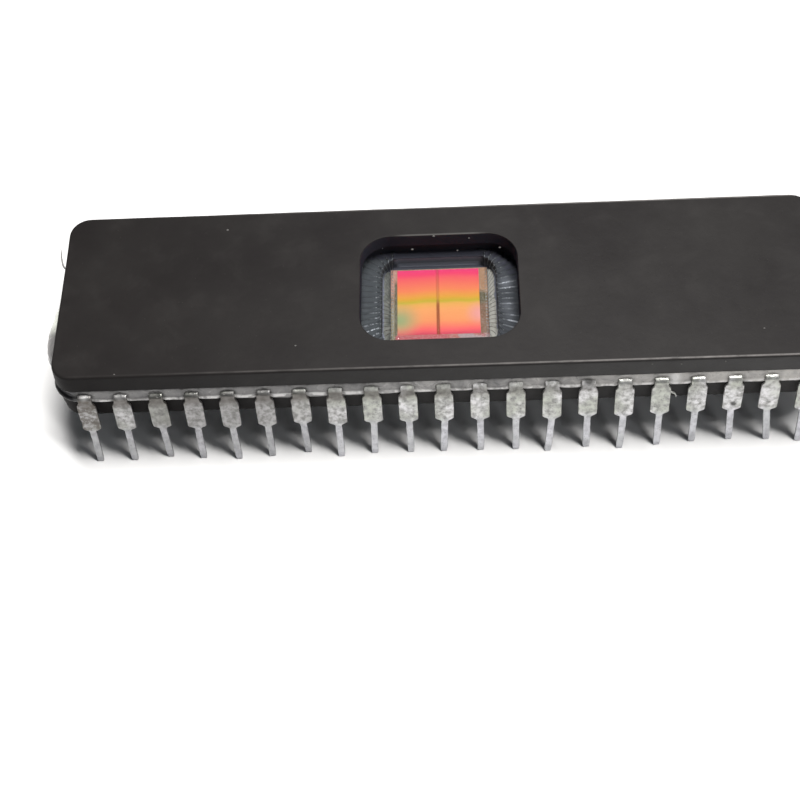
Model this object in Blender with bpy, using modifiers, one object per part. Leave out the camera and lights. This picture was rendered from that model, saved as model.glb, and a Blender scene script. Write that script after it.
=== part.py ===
# Windowed ceramic dual in-line package with 42 leads, in metres.
# The pin tips stand on z = 0, X runs along the body and the ceramic is centred on the origin.
# A pressed base and lid are sealed together by a layer of glass that holds the lead frame.
# Each lead runs from its pin, over the bend and through the glass, to a fingertip beside the die,
# and a wire joins the fingertip to the die under a clear lens in the lid.

import math

import bmesh
import bpy
from mathutils import Vector

OBJECT_NAME = "eprom_chip"

# Fits
FIT = 0.00002                   # gap between pieces that are fused, glued or seated
THROUGH = 0.0002                # how far a cutter runs past the face that it opens

# Lead rows
PINS_PER_ROW = 21
PITCH = 0.00254                 # pin to pin along a row
ROW_SPACING = 0.01524           # centre to centre of the rows at the bend
FRAME_SHIFT = 0.00015           # the lead frame sits this far to the right in the ceramic
SPLAY = math.radians(9.0)       # the rows lean out, as they come from the bending tool

# One lead, from its tip upwards
PIN_TAPER_HEIGHT = 0.0004
PIN_LENGTH = 0.0031             # tip to the foot of the shoulder, the taper included
SHOULDER_HEIGHT = 0.0003
PADDLE_HEIGHT = 0.0022
FLARE_HEIGHT = 0.0004
NECK_HEIGHT = 0.000165
BEND_RADIUS = 0.00025           # to the middle of the metal
BEND_STEPS = 4
LEAD_THICKNESS = 0.00025
PIN_TIP_WIDTH = 0.00044
PIN_WIDTH = 0.00053
PADDLE_WIDTH = 0.00134
NECK_WIDTH = 0.00098

# Pins knocked out of line: sideways and outward error of the tip, front row counted from the left
BENT_PINS = {
    3: (0.0001, -0.0002),
    5: (0.0001, 0.00015),
    7: (0.0001, -0.00025),
    8: (0.0, 0.0002),
    9: (-0.0001, 0.0),
    11: (-0.00015, 0.0),
    14: (-0.00025, 0.00025),
    16: (-0.00015, 0.0002),
    18: (0.0, -0.0002),
    19: (0.00015, -0.0003),
    20: (0.0003, -0.0002),
}

# The lead frame inside the seal
SEAL_WIDTH = 0.00095            # the lead narrows to its inner width this far in from the ceramic
INNER_WIDTH = 0.0005
ELBOW_WIDTH = 0.00024
FINGER_WIDTH = 0.0002
FINGER_PITCH = 0.00045          # along the rounded outline that the fingertips follow
FINGER_SETBACK = 0.00013        # fingertips stand back from the rim of the die's recess
FINGER_PROUD = 0.00008          # fingers stand above the glass between them
LONGEST_FINGER = 0.004          # the straight end of the middle finger
SHORTEST_FINGER = 0.0004        # the straight end of a corner finger
FAN_ANGLE = math.radians(60.0)  # how far the corner fingers turn away from X
FAN_POWER = 1.4                 # the turn gathers towards the corner

# Die, its fillet and the recess in the base
DIE_LENGTH = 0.00717
DIE_WIDTH = 0.0066
DIE_THICKNESS = 0.00045
ATTACH_THICKNESS = 0.00008      # under the die
FILLET_HEIGHT = 0.0002          # the fillet climbs this far up the die's sides
FILLET_WIDTH = 0.00042
FILLET_RUN_OUT = 0.00016        # the fillet's front right corner spreads further
RECESS_DEPTH = 0.00038
RECESS_END_MARGIN = 0.000615    # die to recess wall, along X
RECESS_SIDE_MARGIN = 0.00075    # die to recess wall, along Y
RECESS_RADIUS = 0.0015

# Bond wires
WIRE_RADIUS = 0.00002
WIRE_LOOP = 0.00024             # height of the loop over the fingertip
WIRE_FOOT = 0.00022             # from the fingertip's end to the bond
WIRE_RISE = (0.06, 0.4)         # share of the wire's run, and share of the loop's height there
WIRE_CREST = 0.3                # share of the run at which the loop is highest
WIRE_FALL = (0.62, 0.6)         # share of the run, and share of the drop that is still to come
WIRE_LANDING = 0.88             # share of the run from which the wire lies on its pad
PAD_INSET = 0.00016             # bond pads lie this far in from the die's edge
PAD_END_MARGIN = 0.0004         # from the last pad to the die's corner

# Ceramic body
GLASS_UNDER_LEADS = 0.0004
GLASS_OVER_LEADS = 0.0004
BASE_THICKNESS = 0.0021
LID_THICKNESS = 0.00157
BODY_END = 0.00205              # centre of the last lead to the end of the ceramic
LEAD_STANDS_OFF = 0.00027       # side of the ceramic to the middle of the lead
BODY_CORNER = 0.0016
BASE_DRAFT = 0.00015
LID_DRAFT = 0.0001
RIM_ROUND = 0.0002
NOTCH_RADIUS = 0.0013

# Window and the hollow under the lid
WINDOW_LENGTH = 0.0114
WINDOW_WIDTH = 0.0093
WINDOW_SHIFT = (0.00005, -0.00015)  # its middle, off the middle of the ceramic
WINDOW_CORNER = 0.0022
WINDOW_TAPER = 0.00006
LENS_EDGE = 0.00004
HOLLOW_HEIGHT = 0.0005
HOLLOW_MARGIN = 0.00045         # the hollow is wider than the window by this all round

# Glass squeezed out of the seam
GLASS_BULGE = 0.00018
GLASS_LIP = 0.0001              # how far it wets the ceramic above and below the seam
GLASS_ROUND = 0.00022
LUMP_PLACE = -0.0016            # middle of the lump on the left end, along Y
LUMP_HALF_LENGTH = 0.0029
LUMP_HALF_HEIGHT = 0.00062
LUMP_REACH = 0.00092

CORNER_STEPS = 4
WINDOW_STEPS = 8
RIM_STEPS = 2
MENISCUS_STEPS = 2
NOTCH_SIDES = 20
LUMP_RINGS = 6
LUMP_SEGMENTS = 10
SMOOTH_ANGLE = math.radians(35.0)

# Heights that follow from the lead
BEND_LOW = PIN_LENGTH + SHOULDER_HEIGHT + PADDLE_HEIGHT + FLARE_HEIGHT + NECK_HEIGHT
LEAD_PLANE = BEND_LOW + BEND_RADIUS * (1.0 - math.sin(SPLAY))
LEAD_LOW = LEAD_PLANE - LEAD_THICKNESS / 2
LEAD_HIGH = LEAD_PLANE + LEAD_THICKNESS / 2
BASE_HIGH = LEAD_LOW - GLASS_UNDER_LEADS
BASE_LOW = BASE_HIGH - BASE_THICKNESS
LID_LOW = LEAD_HIGH + GLASS_OVER_LEADS
LID_HIGH = LID_LOW + LID_THICKNESS
HOLLOW_HIGH = LID_LOW + HOLLOW_HEIGHT
RECESS_FLOOR = BASE_HIGH - RECESS_DEPTH
DIE_LOW = RECESS_FLOOR + FIT + ATTACH_THICKNESS
DIE_HIGH = DIE_LOW + DIE_THICKNESS

# Outlines that follow from what they hold, as half lengths along X and Y
SHARES = PINS_PER_ROW - 1
FINGERS_EACH_WAY = SHARES // 2
BODY_HALF = (SHARES * PITCH / 2 + BODY_END, ROW_SPACING / 2 - LEAD_STANDS_OFF)
WINDOW_HALF = (WINDOW_LENGTH / 2, WINDOW_WIDTH / 2)
HOLLOW_HALF = (WINDOW_HALF[0] + HOLLOW_MARGIN, WINDOW_HALF[1] + HOLLOW_MARGIN)
HOLLOW_CORNER = WINDOW_CORNER + HOLLOW_MARGIN
DIE_HALF = (DIE_LENGTH / 2, DIE_WIDTH / 2)
RECESS_HALF = (DIE_HALF[0] + RECESS_END_MARGIN, DIE_HALF[1] + RECESS_SIDE_MARGIN)
TIPS_HALF = (RECESS_HALF[0] + FINGER_SETBACK, RECESS_HALF[1] + FINGER_SETBACK)
TIPS_CORNER = RECESS_RADIUS + FINGER_SETBACK
PAD_PITCH = (DIE_HALF[1] - PAD_END_MARGIN) / FINGERS_EACH_WAY


# Scene, collections and materials

def clear_scene():
    for obj in list(bpy.data.objects):
        bpy.data.objects.remove(obj, do_unlink=True)


def new_collection(name):
    collection = bpy.data.collections.new(name)
    bpy.context.scene.collection.children.link(collection)
    return collection


def new_material(name, colour, roughness, metallic=0.0, transmission=0.0):
    material = bpy.data.materials.new(name)
    material.use_nodes = True
    shader = material.node_tree.nodes["Principled BSDF"]
    shader.inputs["Base Color"].default_value = (*colour, 1.0)
    shader.inputs["Roughness"].default_value = roughness
    shader.inputs["Metallic"].default_value = metallic
    shader.inputs["Transmission Weight"].default_value = transmission
    return material


def add_object(name, mesh, collection, material=None):
    obj = bpy.data.objects.new(name, mesh)
    collection.objects.link(obj)
    if material is not None:
        mesh.materials.append(material)
    return obj


def mesh_from(bm, name):
    mesh = bpy.data.meshes.new(name)
    bm.to_mesh(mesh)
    bm.free()
    return mesh


# A cutter or a joining piece is kept as a wire outline that the render leaves out
def as_tool(obj):
    obj.hide_render = True
    obj.display_type = "WIRE"
    return obj


def combine(target, tool, operation="DIFFERENCE"):
    modifier = target.modifiers.new(tool.name, "BOOLEAN")
    modifier.operation = operation
    modifier.solver = "EXACT"
    modifier.object = tool


# Shapes

# A block with round upright corners, sides that lean in by a draft, and soft or sharp rims
def rounded_block(name, half, low, high, corner, draft_low=0.0, draft_high=0.0,
                  rim_low=0.0, rim_high=0.0, corner_steps=CORNER_STEPS, rim_steps=RIM_STEPS):
    bm = bmesh.new()
    bmesh.ops.create_cube(bm, size=2.0)
    for vert in bm.verts:
        inset = draft_high if vert.co.z > 0 else draft_low
        vert.co.x *= half[0] - inset
        vert.co.y *= half[1] - inset
        vert.co.z = high if vert.co.z > 0 else low
    if corner > 0:
        upright = [edge for edge in bm.edges if edge.verts[0].co.z != edge.verts[1].co.z]
        bmesh.ops.bevel(bm, geom=upright, offset=corner, offset_type="OFFSET",
                        segments=corner_steps, profile=0.5, affect="EDGES")
    for level, size in ((low, rim_low), (high, rim_high)):
        if size > 0:
            rim = [edge for edge in bm.edges if all(abs(v.co.z - level) < FIT / 10 for v in edge.verts)]
            bmesh.ops.bevel(bm, geom=rim, offset=size, offset_type="OFFSET",
                            segments=rim_steps, profile=0.5, affect="EDGES")
    bmesh.ops.recalc_face_normals(bm, faces=bm.faces)
    return mesh_from(bm, name)


def upright_cylinder(name, centre, radius, low, high):
    bm = bmesh.new()
    bmesh.ops.create_cone(bm, cap_ends=True, segments=NOTCH_SIDES, radius1=radius, radius2=radius,
                          depth=high - low)
    bmesh.ops.translate(bm, verts=bm.verts, vec=(centre[0], centre[1], (low + high) / 2))
    return mesh_from(bm, name)


def soften(mesh):
    mesh.shade_smooth()
    mesh.set_sharp_from_angle(angle=SMOOTH_ANGLE)


# Ceramic body

# The base and the lid as they were pressed, or larger all round by grow to clear what fits them
def base_block(name, grow=0.0):
    return rounded_block(name, (BODY_HALF[0] + grow, BODY_HALF[1] + grow), BASE_LOW - grow,
                         BASE_HIGH + grow, BODY_CORNER + grow, draft_low=BASE_DRAFT, rim_low=RIM_ROUND)


def lid_block(name, grow=0.0):
    return rounded_block(name, (BODY_HALF[0] + grow, BODY_HALF[1] + grow), LID_LOW - grow,
                         LID_HIGH + grow, BODY_CORNER + grow, draft_high=LID_DRAFT, rim_high=RIM_ROUND)


# The window's opening, its lens and the hollow under it stand a little off the middle
def in_window(mesh):
    for vert in mesh.vertices:
        vert.co.x += WINDOW_SHIFT[0]
        vert.co.y += WINDOW_SHIFT[1]
    return mesh


# The half-round index notch at the right-hand end, through base and lid
def notch_tool(name, tools, radius):
    mesh = upright_cylinder(name, (BODY_HALF[0], 0.0), radius, BASE_LOW - THROUGH, LID_HIGH + THROUGH)
    return as_tool(add_object(name, mesh, tools))


def recess_tool(name, tools, low, high, grow=0.0):
    half = (RECESS_HALF[0] + grow, RECESS_HALF[1] + grow)
    mesh = rounded_block(name, half, low, high, RECESS_RADIUS + grow)
    return as_tool(add_object(name, mesh, tools))


def hollow_tool(name, tools, low, high):
    mesh = in_window(rounded_block(name, HOLLOW_HALF, low, high, HOLLOW_CORNER))
    return as_tool(add_object(name, mesh, tools))


def make_base(parts, tools, ceramic):
    mesh = base_block("ceramic_base")
    base = add_object("ceramic_base", mesh, parts, ceramic)
    combine(base, recess_tool("recess_cut", tools, RECESS_FLOOR, BASE_HIGH + THROUGH))
    combine(base, notch_tool("base_notch_cut", tools, NOTCH_RADIUS))
    soften(mesh)


def make_lid(parts, tools, ceramic):
    mesh = lid_block("ceramic_lid")
    lid = add_object("ceramic_lid", mesh, parts, ceramic)
    combine(lid, hollow_tool("hollow_cut", tools, LID_LOW - THROUGH, HOLLOW_HIGH))
    window = rounded_block("window_cut", WINDOW_HALF, HOLLOW_HIGH - THROUGH, LID_HIGH + THROUGH,
                           WINDOW_CORNER, draft_low=WINDOW_TAPER, corner_steps=WINDOW_STEPS)
    combine(lid, as_tool(add_object("window_cut", in_window(window), tools)))
    combine(lid, notch_tool("lid_notch_cut", tools, NOTCH_RADIUS))
    soften(mesh)


# The lens is a slightly tapered plug, flush with the lid's top and with the hollow's roof
def make_lens(parts, clear):
    half = (WINDOW_HALF[0] - FIT, WINDOW_HALF[1] - FIT)
    mesh = rounded_block("window_lens", half, HOLLOW_HIGH, LID_HIGH, WINDOW_CORNER - FIT,
                         draft_low=WINDOW_TAPER, rim_high=LENS_EDGE, corner_steps=WINDOW_STEPS,
                         rim_steps=1)
    add_object("window_lens", in_window(mesh), parts, clear)
    soften(mesh)


# Lead frame

# Which row and which side a pin belongs to, its place along X and its rank from the middle finger.
# Pin 1 is beside the notch in the back row, and the pins count round the body from there.
def pin_place(pin):
    total = 2 * PINS_PER_ROW
    middle = PINS_PER_ROW + 1
    row = 1 if pin <= PINS_PER_ROW else -1
    column = FINGERS_EACH_WAY + 1 - pin if row > 0 else pin - middle - FINGERS_EACH_WAY
    left = middle - FINGERS_EACH_WAY <= pin <= middle + FINGERS_EACH_WAY
    side = -1 if left else 1
    rank = abs(pin - middle) if left else min(pin - 1, total + 1 - pin)
    return row, side, FRAME_SHIFT + column * PITCH, rank


# The fingertip and the way that its finger leaves it, on a rounded outline round the recess
def fingertip(row, side, rank):
    along = rank * FINGER_PITCH
    straight = TIPS_HALF[1] - TIPS_CORNER
    if along <= straight:
        tip = Vector((TIPS_HALF[0], along))
    else:
        turn = (along - straight) / TIPS_CORNER
        tip = Vector((TIPS_HALF[0] - TIPS_CORNER + TIPS_CORNER * math.cos(turn),
                      straight + TIPS_CORNER * math.sin(turn)))
    share = rank / FINGERS_EACH_WAY
    angle = FAN_ANGLE * share ** FAN_POWER
    away = Vector((math.cos(angle), math.sin(angle)))
    reach = LONGEST_FINGER + (SHORTEST_FINGER - LONGEST_FINGER) * share
    place = Vector((side, row))
    return tip * place, away * place, reach


# The lead's middle line in plan, from the fingertip to the place where the bend starts
def plan_route(pin):
    row, side, x, rank = pin_place(pin)
    tip, away, reach = fingertip(row, side, rank)
    corner = Vector((x, row * (BODY_HALF[1] - SEAL_WIDTH)))
    bend = Vector((x, row * (ROW_SPACING / 2 - BEND_RADIUS)))
    return [tip, tip + away * reach, corner, bend], [FINGER_WIDTH, ELBOW_WIDTH, INNER_WIDTH, NECK_WIDTH]


# The two edges of a flat strip along a route, mitred at its corners
def strip_edges(points, widths):
    edges = []
    last = len(points) - 1
    for index, point in enumerate(points):
        before = (points[max(index, 1)] - points[max(index, 1) - 1]).normalized()
        after = (points[min(index, last - 1) + 1] - points[min(index, last - 1)]).normalized()
        across = Vector((-(before + after).y, (before + after).x)).normalized()
        square = Vector((-before.y, before.x))
        half = widths[index] / 2 / across.dot(square)
        edges.append((point + across * half, point - across * half))
    return edges


# Height, width and outward place of each station of the pin, from the bend down to the tip.
# The tip is cut square to the splayed pin, so its inner edge is what touches z = 0.
def pin_stations():
    paddle_low = PIN_LENGTH + SHOULDER_HEIGHT
    paddle_high = paddle_low + PADDLE_HEIGHT
    levels = [
        (paddle_high + FLARE_HEIGHT, NECK_WIDTH),
        (paddle_high, PADDLE_WIDTH),
        (paddle_low, PADDLE_WIDTH),
        (PIN_LENGTH, PIN_WIDTH),
        (PIN_TAPER_HEIGHT, PIN_WIDTH),
        (LEAD_THICKNESS / 2 * math.sin(SPLAY), PIN_TIP_WIDTH),
    ]
    bend_out = ROW_SPACING / 2 - BEND_RADIUS * (1.0 - math.cos(SPLAY))
    return [(z, width, bend_out + (BEND_LOW - z) * math.tan(SPLAY)) for z, width in levels]


# The flat strip of a lead from its fingertip outwards, as a pair of edge points at each station
def flat_stations(route, widths):
    pairs = strip_edges(route, widths)
    return [(Vector((a.x, a.y, LEAD_PLANE)), Vector((b.x, b.y, LEAD_PLANE))) for a, b in pairs]


# Every station of a lead: the strip in the seal, the bend, and the pin down to its tip
def lead_stations(pin):
    row, _, x, _ = pin_place(pin)
    stations = flat_stations(*plan_route(pin))
    hand = 1 if stations[-1][0].x > stations[-1][1].x else -1

    def across(y, z, width, shift=0.0):
        half = hand * width / 2
        return Vector((x + shift + half, row * y, z)), Vector((x + shift - half, row * y, z))

    centre_out = ROW_SPACING / 2 - BEND_RADIUS
    centre_high = LEAD_PLANE - BEND_RADIUS
    for step in range(1, BEND_STEPS + 1):
        angle = math.pi / 2 - (math.pi / 2 - SPLAY) * step / BEND_STEPS
        stations.append(across(centre_out + BEND_RADIUS * math.cos(angle),
                               centre_high + BEND_RADIUS * math.sin(angle), NECK_WIDTH))
    from_left = pin - PINS_PER_ROW
    sideways, outward = BENT_PINS.get(from_left, (0.0, 0.0))
    for z, width, out in pin_stations():
        lean = max(0.0, 1.0 - z / PIN_LENGTH)
        knocked = 1.0 - z / BEND_LOW
        stations.append(across(out + outward * knocked, z, width, sideways * lean))
    return stations


# An open strip, drawn station by station by extruding its first edge
def add_strip(bm, stations):
    start = [bm.verts.new(point) for point in stations[0]]
    edge = bm.edges.new(start)
    for pair in stations[1:]:
        result = bmesh.ops.extrude_edge_only(bm, edges=[edge])
        edge = next(item for item in result["geom"] if isinstance(item, bmesh.types.BMEdge))
        from_first = next(item.other_vert(start[0]) for item in start[0].link_edges
                          if item.other_vert(start[0]) in edge.verts)
        from_second = edge.other_vert(from_first)
        from_first.co, from_second.co = pair
        start = [from_first, from_second]


def thicken(obj, thickness):
    modifier = obj.modifiers.new("thickness", "SOLIDIFY")
    modifier.thickness = thickness
    modifier.offset = 0.0
    modifier.use_even_offset = True


# The wire leaves the fingertip in a low loop and comes down on its pad at the die's edge
def wire_points(pin):
    row, side, _, rank = pin_place(pin)
    tip, away, _ = fingertip(row, side, rank)
    foot = tip + away * WIRE_FOOT
    pad = Vector((side * (DIE_HALF[0] - PAD_INSET), row * rank * PAD_PITCH))
    rest = DIE_HIGH + FIT + WIRE_RADIUS
    loop = LEAD_HIGH + WIRE_LOOP
    heights = (
        (0.0, LEAD_HIGH - LEAD_THICKNESS / 4),
        (WIRE_RISE[0], LEAD_HIGH + WIRE_LOOP * WIRE_RISE[1]),
        (WIRE_CREST, loop),
        (WIRE_FALL[0], rest + (loop - rest) * WIRE_FALL[1]),
        (WIRE_LANDING, rest),
        (1.0, rest),
    )
    return [(*foot.lerp(pad, share), z) for share, z in heights]


# A wire is drawn as a curve and made a mesh, so that it can be joined to its lead
def wire_tool(name, pin, tools):
    curve = bpy.data.curves.new(name, "CURVE")
    curve.dimensions = "3D"
    curve.bevel_depth = WIRE_RADIUS
    curve.bevel_resolution = 0
    curve.use_fill_caps = True
    points = wire_points(pin)
    spline = curve.splines.new("POLY")
    spline.points.add(len(points) - 1)
    for target, point in zip(spline.points, points):
        target.co = (*point, 1.0)
    drawn = bpy.data.objects.new(name + "_curve", curve)
    tools.objects.link(drawn)
    bpy.context.view_layer.update()
    evaluated = drawn.evaluated_get(bpy.context.evaluated_depsgraph_get())
    mesh = bpy.data.meshes.new_from_object(evaluated)
    place = drawn.matrix_world.copy()
    bpy.data.objects.remove(drawn, do_unlink=True)
    bm = bmesh.new()
    bm.from_mesh(mesh)
    bmesh.ops.remove_doubles(bm, verts=bm.verts, dist=WIRE_RADIUS / 100)
    bmesh.ops.recalc_face_normals(bm, faces=bm.faces)
    bm.to_mesh(mesh)
    bm.free()
    wire = as_tool(add_object(name, mesh, tools))
    wire.matrix_world = place
    return wire


def make_leads(parts, tools, tin):
    for pin in range(1, 2 * PINS_PER_ROW + 1):
        name = f"lead_{pin:02d}"
        bm = bmesh.new()
        add_strip(bm, lead_stations(pin))
        lead = add_object(name, mesh_from(bm, name), parts, tin)
        thicken(lead, LEAD_THICKNESS)
        combine(lead, wire_tool(f"wire_{pin:02d}", pin, tools), "UNION")


# Seal glass

# One cutter with a channel for every lead, larger than the lead by the fit, as far as the bend
def channel_tool(tools):
    bm = bmesh.new()
    for pin in range(1, 2 * PINS_PER_ROW + 1):
        route, widths = plan_route(pin)
        route[0] = route[0] - (route[1] - route[0]).normalized() * FIT
        route[-1] = route[-1] + (route[-1] - route[-2]).normalized() * FIT
        add_strip(bm, flat_stations(route, [width + 2 * FIT for width in widths]))
    channels = as_tool(add_object("lead_channels", mesh_from(bm, "lead_channels"), tools))
    thicken(channels, LEAD_THICKNESS + 2 * FIT)
    return channels


# From the bend outwards the squeezed-out glass stops at each lead's sides, over its whole height
def relief_tool(tools):
    bm = bmesh.new()
    inner = ROW_SPACING / 2 - BEND_RADIUS
    outer = BODY_HALF[1] + GLASS_BULGE + THROUGH
    low = BASE_HIGH - GLASS_LIP - THROUGH
    high = LEAD_HIGH + FIT
    for pin in range(1, 2 * PINS_PER_ROW + 1):
        row, _, x, _ = pin_place(pin)
        box = bmesh.ops.create_cube(bm, size=1.0)["verts"]
        bmesh.ops.scale(bm, verts=box, vec=(NECK_WIDTH + 2 * FIT, outer - inner, high - low))
        bmesh.ops.translate(bm, verts=box, vec=(x, row * (inner + outer) / 2, (high + low) / 2))
    return as_tool(add_object("lead_reliefs", mesh_from(bm, "lead_reliefs"), tools))


def lump_tool(tools):
    bm = bmesh.new()
    bmesh.ops.create_uvsphere(bm, u_segments=LUMP_SEGMENTS, v_segments=LUMP_RINGS, radius=1.0)
    bmesh.ops.scale(bm, verts=bm.verts, vec=(LUMP_REACH, LUMP_HALF_LENGTH, LUMP_HALF_HEIGHT))
    middle = (BASE_HIGH + LID_LOW) / 2
    bmesh.ops.translate(bm, verts=bm.verts, vec=(-BODY_HALF[0], LUMP_PLACE, middle))
    return as_tool(add_object("lump", mesh_from(bm, "lump"), tools))


# The glass starts as a soft-edged slab with its squeezed-out lump. Everything it was moulded
# round is then taken from it: base, lid, hollow, recess, notch and leads.
def make_glass(parts, tools, glass):
    half = (BODY_HALF[0] + GLASS_BULGE, BODY_HALF[1] + GLASS_BULGE)
    mesh = rounded_block("seal_glass", half, BASE_HIGH - GLASS_LIP, LID_LOW + GLASS_LIP,
                         BODY_CORNER + GLASS_BULGE, rim_low=GLASS_ROUND, rim_high=GLASS_ROUND,
                         rim_steps=MENISCUS_STEPS)
    seal = add_object("seal_glass", mesh, parts, glass)
    combine(seal, lump_tool(tools), "UNION")
    combine(seal, as_tool(add_object("base_room", base_block("base_room", FIT), tools)))
    combine(seal, as_tool(add_object("lid_room", lid_block("lid_room", FIT), tools)))
    combine(seal, hollow_tool("hollow_room", tools, LEAD_HIGH - FINGER_PROUD, LID_LOW))
    combine(seal, recess_tool("recess_room", tools, RECESS_FLOOR, LID_LOW, FIT))
    combine(seal, notch_tool("notch_room", tools, NOTCH_RADIUS - GLASS_BULGE))
    combine(seal, channel_tool(tools))
    combine(seal, relief_tool(tools))
    soften(mesh)


# Die and its fillet

def make_die(parts, silicon):
    mesh = rounded_block("die", DIE_HALF, DIE_LOW, DIE_HIGH, 0.0)
    add_object("die", mesh, parts, silicon)


def make_attach(parts, tools, paste):
    half = (DIE_HALF[0] + FILLET_WIDTH, DIE_HALF[1] + FILLET_WIDTH)
    low = RECESS_FLOOR + FIT
    mesh = rounded_block("die_attach", half, low, DIE_LOW + FILLET_HEIGHT, FILLET_WIDTH * 2,
                         rim_high=FILLET_HEIGHT, rim_steps=MENISCUS_STEPS)
    for vert in mesh.vertices:
        if vert.co.x > DIE_HALF[0]:
            vert.co.x += FILLET_RUN_OUT * (1.0 - vert.co.y / half[1]) / 2
    attach = add_object("die_attach", mesh, parts, paste)
    room = (DIE_HALF[0] + FIT, DIE_HALF[1] + FIT)
    pocket = rounded_block("die_room", room, DIE_LOW - FIT, DIE_HIGH, 0.0)
    combine(attach, as_tool(add_object("die_room", pocket, tools)))
    soften(mesh)


clear_scene()
chip = new_collection(OBJECT_NAME)
cutters = new_collection("cutters")
ceramic_finish = new_material("dark_ceramic", (0.045, 0.043, 0.043), 0.5)
glass_finish = new_material("seal_glass", (0.16, 0.155, 0.155), 0.22)
tin_finish = new_material("tinned_lead", (0.55, 0.55, 0.53), 0.42, 1.0)
lens_finish = new_material("clear_lens", (0.95, 0.96, 0.97), 0.03, 0.0, 1.0)
die_finish = new_material("die_surface", (0.75, 0.3, 0.2), 0.2, 0.6)
paste_finish = new_material("die_attach", (0.3, 0.32, 0.28), 0.45)
make_base(chip, cutters, ceramic_finish)
make_attach(chip, cutters, paste_finish)
make_die(chip, die_finish)
make_leads(chip, cutters, tin_finish)
make_glass(chip, cutters, glass_finish)
make_lid(chip, cutters, ceramic_finish)
make_lens(chip, lens_finish)
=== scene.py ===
import math

import bmesh
import bpy
import numpy as np
from mathutils import Matrix, Vector, noise


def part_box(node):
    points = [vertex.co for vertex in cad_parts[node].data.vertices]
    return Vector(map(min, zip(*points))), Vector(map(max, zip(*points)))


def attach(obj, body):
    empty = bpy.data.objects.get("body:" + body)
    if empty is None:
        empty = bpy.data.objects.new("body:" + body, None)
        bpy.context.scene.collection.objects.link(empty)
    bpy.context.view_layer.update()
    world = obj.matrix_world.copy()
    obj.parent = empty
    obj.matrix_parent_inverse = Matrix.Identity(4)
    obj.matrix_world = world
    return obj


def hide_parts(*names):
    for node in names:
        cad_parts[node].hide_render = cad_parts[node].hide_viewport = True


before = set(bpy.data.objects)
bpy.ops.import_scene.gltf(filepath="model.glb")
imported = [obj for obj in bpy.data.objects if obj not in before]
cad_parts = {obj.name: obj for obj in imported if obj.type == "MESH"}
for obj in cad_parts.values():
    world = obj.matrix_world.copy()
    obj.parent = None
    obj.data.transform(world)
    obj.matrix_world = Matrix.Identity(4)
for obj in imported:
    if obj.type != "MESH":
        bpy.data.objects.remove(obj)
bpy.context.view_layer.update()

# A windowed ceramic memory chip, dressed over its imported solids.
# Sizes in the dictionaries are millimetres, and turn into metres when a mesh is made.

mm = 0.001
scene = bpy.context.scene
print("frame loaded,", len(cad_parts), "solids")


def boxOf(node):
    low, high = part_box(node)
    return low / mm, high / mm


lidBox, baseBox, dieBox, lensBox = map(boxOf, ("ceramic_lid", "ceramic_base", "die", "window_lens"))
hollowHigh = lensBox[0].z
bodyHalf = (lidBox[1].x, lidBox[1].y)
fingerHeight = 6.5  # Top of the leads inside the window


# Meshes

def meshFrom(bm, name):
    bmesh.ops.recalc_face_normals(bm, faces=bm.faces)
    mesh = bpy.data.meshes.new(name)
    bm.to_mesh(mesh)
    bm.free()
    return mesh


def addObject(name, data):
    piece = bpy.data.objects.new(name, data)
    scene.collection.objects.link(piece)
    return piece


# A finished piece of the chip, smooth across edges under an angle.
# With even, its big flat faces keep their own shading beside the small rounded ones.
def addPiece(name, mesh, finish, slotName, *nodes, smooth=50, even=False):
    if smooth:
        mesh.shade_smooth()
        mesh.set_sharp_from_angle(angle=math.radians(smooth))
    mesh.materials.append(finish)
    piece = addObject(name, mesh)
    if even:
        modifier = piece.modifiers.new("even shading", "WEIGHTED_NORMAL")
        modifier.keep_sharp = True
        modifier.weight = 80
    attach(piece, "root")
    if nodes:
        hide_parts(*nodes)


# Skin through rings of equal length. It is capped at both ends, or with loop its last ring joins its first.
def ringMesh(name, rings, loop=False):
    bm = bmesh.new()
    rows = [[bm.verts.new(Vector(point) * mm) for point in ring] for ring in rings]
    count = len(rows[0])
    for low, high in zip(rows, rows[1:] + rows[:1] if loop else rows[1:]):
        for i in range(count):
            j = (i + 1) % count
            bm.faces.new((low[i], low[j], high[j], high[i]))
    if not loop:
        bm.faces.new(rows[0][::-1])
        bm.faces.new(rows[-1])
    return meshFrom(bm, name)


# Points round a rectangle with round corners, each with its outward way. Its right end may have a notch.
def outline(half, corner, step, notch=0.0, counts=None, middle=(0.0, 0.0)):
    points = []
    alongX, alongY, round90 = counts or (
        max(1, round(2 * (half[0] - corner) / step)),
        max(1, round((half[1] - corner - notch) / step)),
        max(6, round(corner * math.pi / 2 / step)),
    )

    def run(start, end, way, count):
        for i in range(count):
            points.append((Vector(start).lerp(Vector(end), i / count), Vector(way)))

    def arc(centre, radius, first, last, count, outward=1):
        for i in range(count):
            angle = math.radians(first + (last - first) * i / count)
            way = Vector((math.cos(angle), math.sin(angle)))
            points.append((Vector(centre) + way * radius, way * outward))

    x, y = half
    a, b = x - corner, y - corner
    run((x, notch), (x, b), (1, 0), alongY)
    arc((a, b), corner, 0, 90, round90)
    run((a, y), (-a, y), (0, 1), alongX)
    arc((-a, b), corner, 90, 180, round90)
    run((-x, b), (-x, -b), (-1, 0), 2 * alongY)
    arc((-a, -b), corner, 180, 270, round90)
    run((-a, -y), (a, -y), (0, -1), alongX)
    arc((a, -b), corner, 270, 360, round90)
    run((x, -b), (x, -notch), (1, 0), alongY)
    if notch:
        lowerCorner = len(points)
        points[0] = (points[0][0], Vector((1, -1)))
        arc((x, 0), notch, 270, 90, max(12, round(notch * math.pi / step)), -1)
        points[lowerCorner] = (Vector((x, -notch)), Vector((1, 1)))
    return [(place + Vector(middle), way) for place, way in points]


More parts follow.
